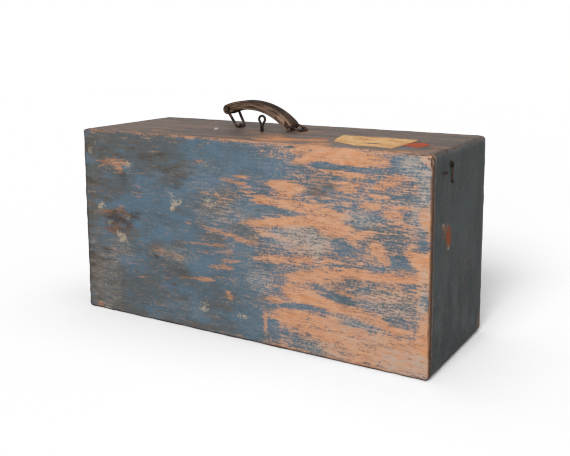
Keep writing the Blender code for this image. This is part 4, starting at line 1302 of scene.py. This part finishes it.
def nail_tree():
    """A row of hammered nail heads between two points, each a little out of line."""
    kinds = {"Start": "Vector", "End": "Vector", "Count": "Int", "Facing": "Rotation"}
    kinds |= {"Head": "Float", "Wander": "Float", "Seed": "Int", "Material": "Material"}
    tree, given, exit_node = new_tree("nail_row", kinds)
    seed, facing = given["Seed"], given["Facing"]
    ends = {"Count": given["Count"], "Start_Location": given["Start"], "Offset": given["End"]}
    line = add(tree, "GeometryNodeMeshLine", {"mode": "END_POINTS"}, 0, **ends)
    vector = {"data_type": "FLOAT_VECTOR"}
    stray = add(tree, "FunctionNodeRandomValue", vector, 0, i0=(-1, -1, -1), i1=(1, 1, 1), Seed=seed)
    stray = add(tree, "ShaderNodeVectorMath", {"operation": "SCALE"}, 0, i0=stray, Scale=given["Wander"])
    flat = add(tree, "FunctionNodeRotateVector", None, 0, Vector=(1, 1, 0), Rotation=facing)
    stray = add(tree, "ShaderNodeVectorMath", TIMES, 0, i0=stray, i1=flat)
    moved = add(tree, "GeometryNodeSetPosition", None, 0, Geometry=line, Offset=stray)
    head = add(tree, "GeometryNodeMeshIcoSphere", None, 0, Radius=given["Head"], Subdivisions=3)
    size = add(tree, "FunctionNodeRandomValue", {"data_type": "FLOAT"}, 1, i2=0.8, i3=1.15, Seed=seed)
    flatter = {"Scale": (1, 1, 0.2)}
    links = {"Points": moved, "Rotation": facing, "Scale": size}
    set_on_points(tree, exit_node, given["Material"], head, flatter, **links)
    return tree


def stitch_tree():
    """Stitches along a curve: short leaning lengths of thread at an even pitch."""
    kinds = {"Pitch": "Float", "Thread": "Float", "Material": "Material"}
    tree, given, exit_node = new_tree("stitch_run", kinds)
    run = {"Curve": given["Geometry"], "Length": given["Pitch"]}
    points = add(tree, "GeometryNodeCurveToPoints", {"mode": "LENGTH"}, **run).outputs
    thread = add(tree, "GeometryNodeMeshUVSphere", None, 0, Segments=8, Rings=6, Radius=given["Thread"])
    longer = {"Scale": (0.6, 0.6, 2.1), "Rotation": (0.12, 0, 0)}
    links = {"Points": points["Points"], "Rotation": points["Rotation"]}
    set_on_points(tree, exit_node, given["Material"], thread, longer, **links)
    return tree


def run_tree(tree, data, values):
    """The plain mesh that a tree makes from some geometry and input values."""
    carrier = new_object("carrier", data)
    modifier = carrier.modifiers.new("repeat", "NODES")
    modifier.node_group = tree
    for item in tree.interface.items_tree:
        if item.in_out == "INPUT" and item.name in values:
            modifier[item.identifier] = values[item.name]
    graph = bpy.context.evaluated_depsgraph_get()
    mesh = bpy.data.meshes.new_from_object(carrier.evaluated_get(graph), depsgraph=graph)
    bpy.data.objects.remove(carrier)
    return mesh


def joined(name, meshes):
    """Several meshes of one finish as one mesh."""
    material = next(m for m in meshes[0].materials if m)
    bm = bmesh.new()
    for mesh in meshes:
        bm.from_mesh(mesh)
    for face in bm.faces:
        face.material_index = 0
    mesh = plain_mesh(bm, name)
    mesh.materials.append(material)
    return mesh


def nail_rows(spacing):
    """Start, end, count and facing of each row of nails, by body."""
    half, top = HALF_LENGTH - NAIL_END, HEIGHT - NAIL_EDGE
    rows = {"lid": [], "base": []}
    count = round(2 * half / spacing) + 1
    rise = round((HEIGHT - 2 * NAIL_EDGE) / spacing)
    step = (HEIGHT - 2 * NAIL_EDGE) / rise
    for body, y, turn in (("lid", -HALF_DEPTH, math.pi / 2), ("base", HALF_DEPTH, -math.pi / 2)):
        facing = (turn, 0, 0)
        for z in (NAIL_EDGE, top):
            rows[body].append(((-half, y, z), (half, y, z), count, facing))
        for x in (-half, half):
            rows[body].append(((x, y, NAIL_EDGE + step), (x, y, top - step), rise - 1, facing))
    for sign in SIDES.values():
        x, facing = sign * HALF_LENGTH, (0, sign * math.pi / 2, 0)
        for z in (CORNER_ROUND, HEIGHT - CORNER_ROUND):
            rows["base"].append(((x, SEAM_Y + NAIL_SEAM, z), (x, HALF_DEPTH - NAIL_BACK, z), 4, facing))
            rows["lid"].append(((x, NAIL_FRONT - HALF_DEPTH, z), (x, SEAM_Y - NAIL_SEAM, z), 2, facing))
    return rows


class SUITCASE_OT_nails(bpy.types.Operator):
    """Drives the nails round both panels and the ends."""

    bl_idname = "suitcase.nails"
    bl_label = "Nails"

    def execute(self, context):
        sizes = context.scene.suitcase_sizes
        shared = {"Head": sizes.nail_head, "Wander": NAIL_STRAY, "Material": finish("dull_nail_iron")}
        tree = nail_tree()
        for body, rows in nail_rows(sizes.nail_spacing).items():
            meshes = []
            for seed, (start, end, count, facing) in enumerate(rows):
                row = {"Start": start, "End": end, "Count": count, "Facing": facing, "Seed": seed}
                meshes.append(run_tree(tree, bpy.data.meshes.new("row"), shared | row))
            new_piece(f"{body}_nails", joined(f"{body}_nails", meshes), body, slot="rusted_iron")
        return {"FINISHED"}


class SUITCASE_OT_stitches(bpy.types.Operator):
    """Sews the strap's two sides together along both edges."""

    bl_idname = "suitcase.stitches"
    bl_label = "Stitches"

    def execute(self, context):
        sizes = context.scene.suitcase_sizes
        values = {"Pitch": sizes.stitch_pitch, "Thread": sizes.stitch / 2, "Material": finish("waxed_thread")}
        tree = stitch_tree()
        place = grip_matrix()
        meshes = []
        for across in (-1, 1):
            for up in (-1, 1):
                meshes.append(run_tree(tree, stitch_line(*place, across, up), values))
        new_piece("grip_stitches", joined("grip_stitches", meshes), "grip", slot="brown_leather")
        return {"FINISHED"}


def stitch_line(matrix, chord, across, up):
    """A curve along one edge of the strap, on its upper or lower side."""
    curve = bpy.data.curves.new("stitch_line", "CURVE")
    curve.dimensions = "3D"
    spline = curve.splines.new("POLY")
    spline.points.add(STITCH_STEPS)
    for i, point in enumerate(spline.points):
        share = STITCH_START + STITCH_REACH * i / STITCH_STEPS
        a, b = arch_point(chord, share, up * half_thick(share))
        point.co = (*(matrix @ Vector((a, b, across * (GRIP_WIDTH / 2 - STITCH_EDGE)))), 1.0)
    return curve


# Paper

# Torn sides, in mm: the distance between their points, how far these stray, how finely, in which layers
# of the noise along X and along Y, and how near to the seam they don't
TEAR_STEP = 2.5
TEAR_STRAY = 1.3
TEAR_FINE = 0.35
TEAR_LAYERS = (0.37, 20.73)
SEAM_NEAR = 1.0
# The grid, in mm, that a sheet is cut into: its ends and its step
GRID = (-110, 310, 7)
# How far a curl reaches in from a torn side, and how near to the seam it fades
CURL_REACH = 0.008
CURL_SEAM = 0.012
# Heights of a sheet's two sides above the board, and how finely it is wrinkled
SHEET_TOP, SHEET_UNDER = 0.00006, 0.00004
WRINKLES = 60


def torn_outline(corners, seed):
    """An outline with ragged sides between its corners, in mm; along the seam it is cut straight."""
    points = []
    for (a, b), (c, d) in zip(corners, corners[1:] + corners[:1]):
        steps = max(1, round(math.hypot(c - a, d - b) / TEAR_STEP))
        for i in range(steps):
            x, y = a + (c - a) * i / steps, b + (d - b) * i / steps
            spots = (Vector((x * TEAR_FINE, y * TEAR_FINE, seed + layer)) for layer in TEAR_LAYERS)
            right, back = (noise.noise(spot) for spot in spots)
            free = TEAR_STRAY if abs(y - SEAM_Y / MM) > SEAM_NEAR else 0.0
            points.append((x + free * right, y + free * back))
    return points


def sheet_mesh(name, corners, thickness, seed):
    """A torn sheet stuck to the top board: wrinkled, and lifted a little where it is torn."""
    outline = torn_outline(corners, seed)
    bm = bmesh.new()
    bm.faces.new([bm.verts.new((x * MM, y * MM, 0)) for x, y in outline])
    for normal in (Vector((1, 0, 0)), Vector((0, 1, 0))):
        for place in range(*GRID):
            slice_across(bm, normal * place * MM, normal)
    bmesh.ops.triangulate(bm, faces=bm.faces)
    bm.normal_update()
    bmesh.ops.reverse_faces(bm, faces=[face for face in bm.faces if face.normal.z < 0])
    rim = np.array(outline) * MM
    lift = {}
    for vert in bm.verts:
        gap = np.hypot(rim[:, 0] - vert.co.x, rim[:, 1] - vert.co.y).min()
        curl = max(0.0, 1 - gap / CURL_REACH) ** 2 * min(1.0, abs(vert.co.y - SEAM_Y) / CURL_SEAM)
        wrinkle = 0.5 + 0.5 * noise.noise(vert.co * WRINKLES)
        lift[vert] = HEIGHT + SHEET_TOP + thickness * (0.6 + 0.4 * wrinkle + 1.6 * curl * wrinkle)
    under = bmesh.ops.extrude_face_region(bm, geom=bm.faces[:])["geom"]
    for vert in [item for item in under if isinstance(item, bmesh.types.BMVert)]:
        vert.co.z = HEIGHT + SHEET_UNDER
    for vert, height in lift.items():
        vert.co.z = height
    bmesh.ops.recalc_face_normals(bm, faces=bm.faces)
    return smooth_mesh(bm, name, 40)


class SUITCASE_OT_label(bpy.types.Operator):
    """Lays what is left of the paper label across the seam."""

    bl_idname = "suitcase.label"
    bl_label = "Paper label"

    def execute(self, context):
        thickness = context.scene.suitcase_sizes.paper
        for seed, (name, (body, paper, corners)) in enumerate(SHEETS.items()):
            mesh = sheet_mesh(name, corners, thickness, seed)
            new_piece(name, mesh, body, materials=[finish(paper)])
        return {"FINISHED"}


# Stage

# Camera: how far round, up and rolled it is, its focal length and shifts in the picture's pixels, its place
AZIMUTH, ELEVATION, ROLL = (math.radians(angle) for angle in (31.5937, 8.5838, -0.3741))
IMAGE_WIDTH = 570
FOCAL_PIXELS = 803.187
SHIFT_PIXELS = (11.07, -70.787)
CAMERA_PLACE = (0.64892, -1.05669, 0.44729)

# Disk lights: place, what they point at, size and watts; and the world's strength on the object
LIGHTS = {
    "key": ((0.5, -2.6, 2.2), (0, 0, 0.15), 1.5, 67),
    "front_fill": ((0.9, -2.6, 0.9), (0, 0, 0.15), 1.6, 14),
    "overhead": ((0.1, 0.3, 2.4), (0, 0, 0.2), 1.8, 10),
}
WORLD_STRENGTH = 0.19

# Floor: half its size, its height, and where its two halves meet, just in front of the base
FLOOR_HALF = 4.0
FLOOR_Z = -0.0002
FLOOR_SPLIT = -0.0555


def place_camera(scene):
    """The camera at the photograph's viewing angle."""
    flat = math.cos(ELEVATION)
    back = Vector((math.sin(AZIMUTH) * flat, -math.cos(AZIMUTH) * flat, math.sin(ELEVATION)))
    right = Vector((math.cos(AZIMUTH), math.sin(AZIMUTH), 0.0))
    up = back.cross(right)
    turned_right = right * math.cos(ROLL) + up * math.sin(ROLL)
    turned_up = up * math.cos(ROLL) - right * math.sin(ROLL)
    data = bpy.data.cameras.new("camera")
    data.lens = FOCAL_PIXELS * data.sensor_width / IMAGE_WIDTH
    data.shift_x, data.shift_y = (shift / IMAGE_WIDTH for shift in SHIFT_PIXELS)
    camera = new_object("camera", data)
    matrix = Matrix((turned_right, turned_up, back)).transposed().to_4x4()
    matrix.translation = CAMERA_PLACE
    camera.matrix_world = matrix
    scene.camera = camera


def add_light(name, place, target, size, watts):
    """A disk light that points at a target."""
    data = bpy.data.lights.new(name, "AREA")
    data.shape = "DISK"
    data.size = size
    data.energy = watts
    light = new_object(name, data)
    light.location = place
    light.rotation_euler = (Vector(target) - Vector(place)).to_track_quat("-Z", "Y").to_euler()


def light_world(scene):
    """A dim world that lights the object, and a white one where it is seen or mirrored."""
    world = bpy.data.worlds.new("studio")
    world.use_nodes = True
    tree = world.node_tree
    tree.nodes.clear()
    path = add(tree, "ShaderNodeLightPath")
    seen = path.outputs["Is Camera Ray"]
    for ray in ("Is Transmission Ray", "Is Glossy Ray"):
        seen = add(tree, "ShaderNodeMath", {"operation": "MAXIMUM"}, 0, i0=seen, i1=path.outputs[ray])
    strength = add(tree, "ShaderNodeMapRange", None, 0, i0=seen, i3=WORLD_STRENGTH, i4=1.0)
    background = add(tree, "ShaderNodeBackground", None, Color=(1, 1, 1, 1), Strength=strength)
    add(tree, "ShaderNodeOutputWorld", None, Surface=background.outputs[0])
    scene.world = world


def floor_tree(lid):
    """The floor's front half gives way while the lid is down, because the lid opens below it."""
    tree, given, exit_node = new_tree("floor_under_lid", {})
    less = {"data_type": "FLOAT", "operation": "LESS_THAN"}
    turn = add(tree, "GeometryNodeObjectInfo", {"transform_space": "ORIGINAL"}, "Transform", Object=lid)
    top = add(tree, "FunctionNodeTransformPoint", None, 0, Vector=(0, 0, HEIGHT), Transform=turn)
    height = add(tree, "ShaderNodeSeparateXYZ", None, "Z", i0=top)
    down = add(tree, "FunctionNodeCompare", less, 0, i0=height, i1=0.0)
    place = add(tree, "GeometryNodeInputPosition", None, 0)
    depth = add(tree, "ShaderNodeSeparateXYZ", None, "Y", i0=place)
    ahead = add(tree, "FunctionNodeCompare", less, 0, i0=depth, i1=FLOOR_SPLIT)
    gone = add(tree, "FunctionNodeBooleanMath", {"operation": "AND"}, 0, i0=down, i1=ahead)
    faces = {"Geometry": given["Geometry"], "Selection": gone}
    kept = add(tree, "GeometryNodeDeleteGeometry", {"domain": "FACE"}, 0, **faces)
    feed(tree, exit_node, Geometry=kept)
    return tree


def lay_floor():
    """A pale floor that takes the object's shadow."""
    bm = bmesh.new()
    for low, high in ((-FLOOR_HALF, FLOOR_SPLIT), (FLOOR_SPLIT, FLOOR_HALF)):
        corners = ((-FLOOR_HALF, low), (FLOOR_HALF, low), (FLOOR_HALF, high), (-FLOOR_HALF, high))
        bm.faces.new([bm.verts.new((x, y, 0)) for x, y in corners])
    mesh = plain_mesh(bm, "floor")
    floor = new_object("floor", mesh)
    floor.location.z = FLOOR_Z
    material, tree, shader = new_material("pale_floor")
    feed(tree, shader, Base_Color=(0.9, 0.9, 0.9, 1), Roughness=0.9)
    mesh.materials.append(material)
    floor.is_shadow_catcher = True
    floor.modifiers.new("give_way", "NODES").node_group = floor_tree(bpy.data.objects["worn_front_panel"])


class SUITCASE_OT_stage(bpy.types.Operator):
    """Sets the camera, the lights and the floor."""

    bl_idname = "suitcase.stage"
    bl_label = "Stage"

    def execute(self, context):
        scene = context.scene
        scene.view_settings.view_transform = "Standard"
        place_camera(scene)
        light_world(scene)
        lay_floor()
        for name, light in LIGHTS.items():
            add_light(name, *light)
        return {"FINISHED"}


class SUITCASE_PT_panel(bpy.types.Panel):
    """Lists the suitcase's steps."""

    bl_idname = "SUITCASE_PT_panel"
    bl_label = "Suitcase"
    bl_space_type = "VIEW_3D"
    bl_region_type = "UI"
    bl_category = "Suitcase"

    def draw(self, context):
        for step in STEPS:
            self.layout.operator(step.bl_idname)


STEPS = (
    SUITCASE_OT_boards,
    SUITCASE_OT_ironwork,
    SUITCASE_OT_grip,
    SUITCASE_OT_stitches,
    SUITCASE_OT_nails,
    SUITCASE_OT_label,
    SUITCASE_OT_stage,
)
CLASSES = (SuitcaseColours, SuitcaseSizes, *STEPS, SUITCASE_PT_panel)


def register():
    """Makes the classes and the scene's settings known."""
    for cls in CLASSES:
        bpy.utils.register_class(cls)
    bpy.types.Scene.suitcase_colours = bpy.props.PointerProperty(type=SuitcaseColours)
    bpy.types.Scene.suitcase_sizes = bpy.props.PointerProperty(type=SuitcaseSizes)


def unregister():
    """Takes the settings and the classes away again."""
    del bpy.types.Scene.suitcase_sizes
    del bpy.types.Scene.suitcase_colours
    for cls in reversed(CLASSES):
        bpy.utils.unregister_class(cls)


def main():
    """Runs every step in order."""
    register()
    for step in STEPS:
        group, name = step.bl_idname.split(".")
        getattr(getattr(bpy.ops, group), name)()


if __name__ == "__main__":
    main()
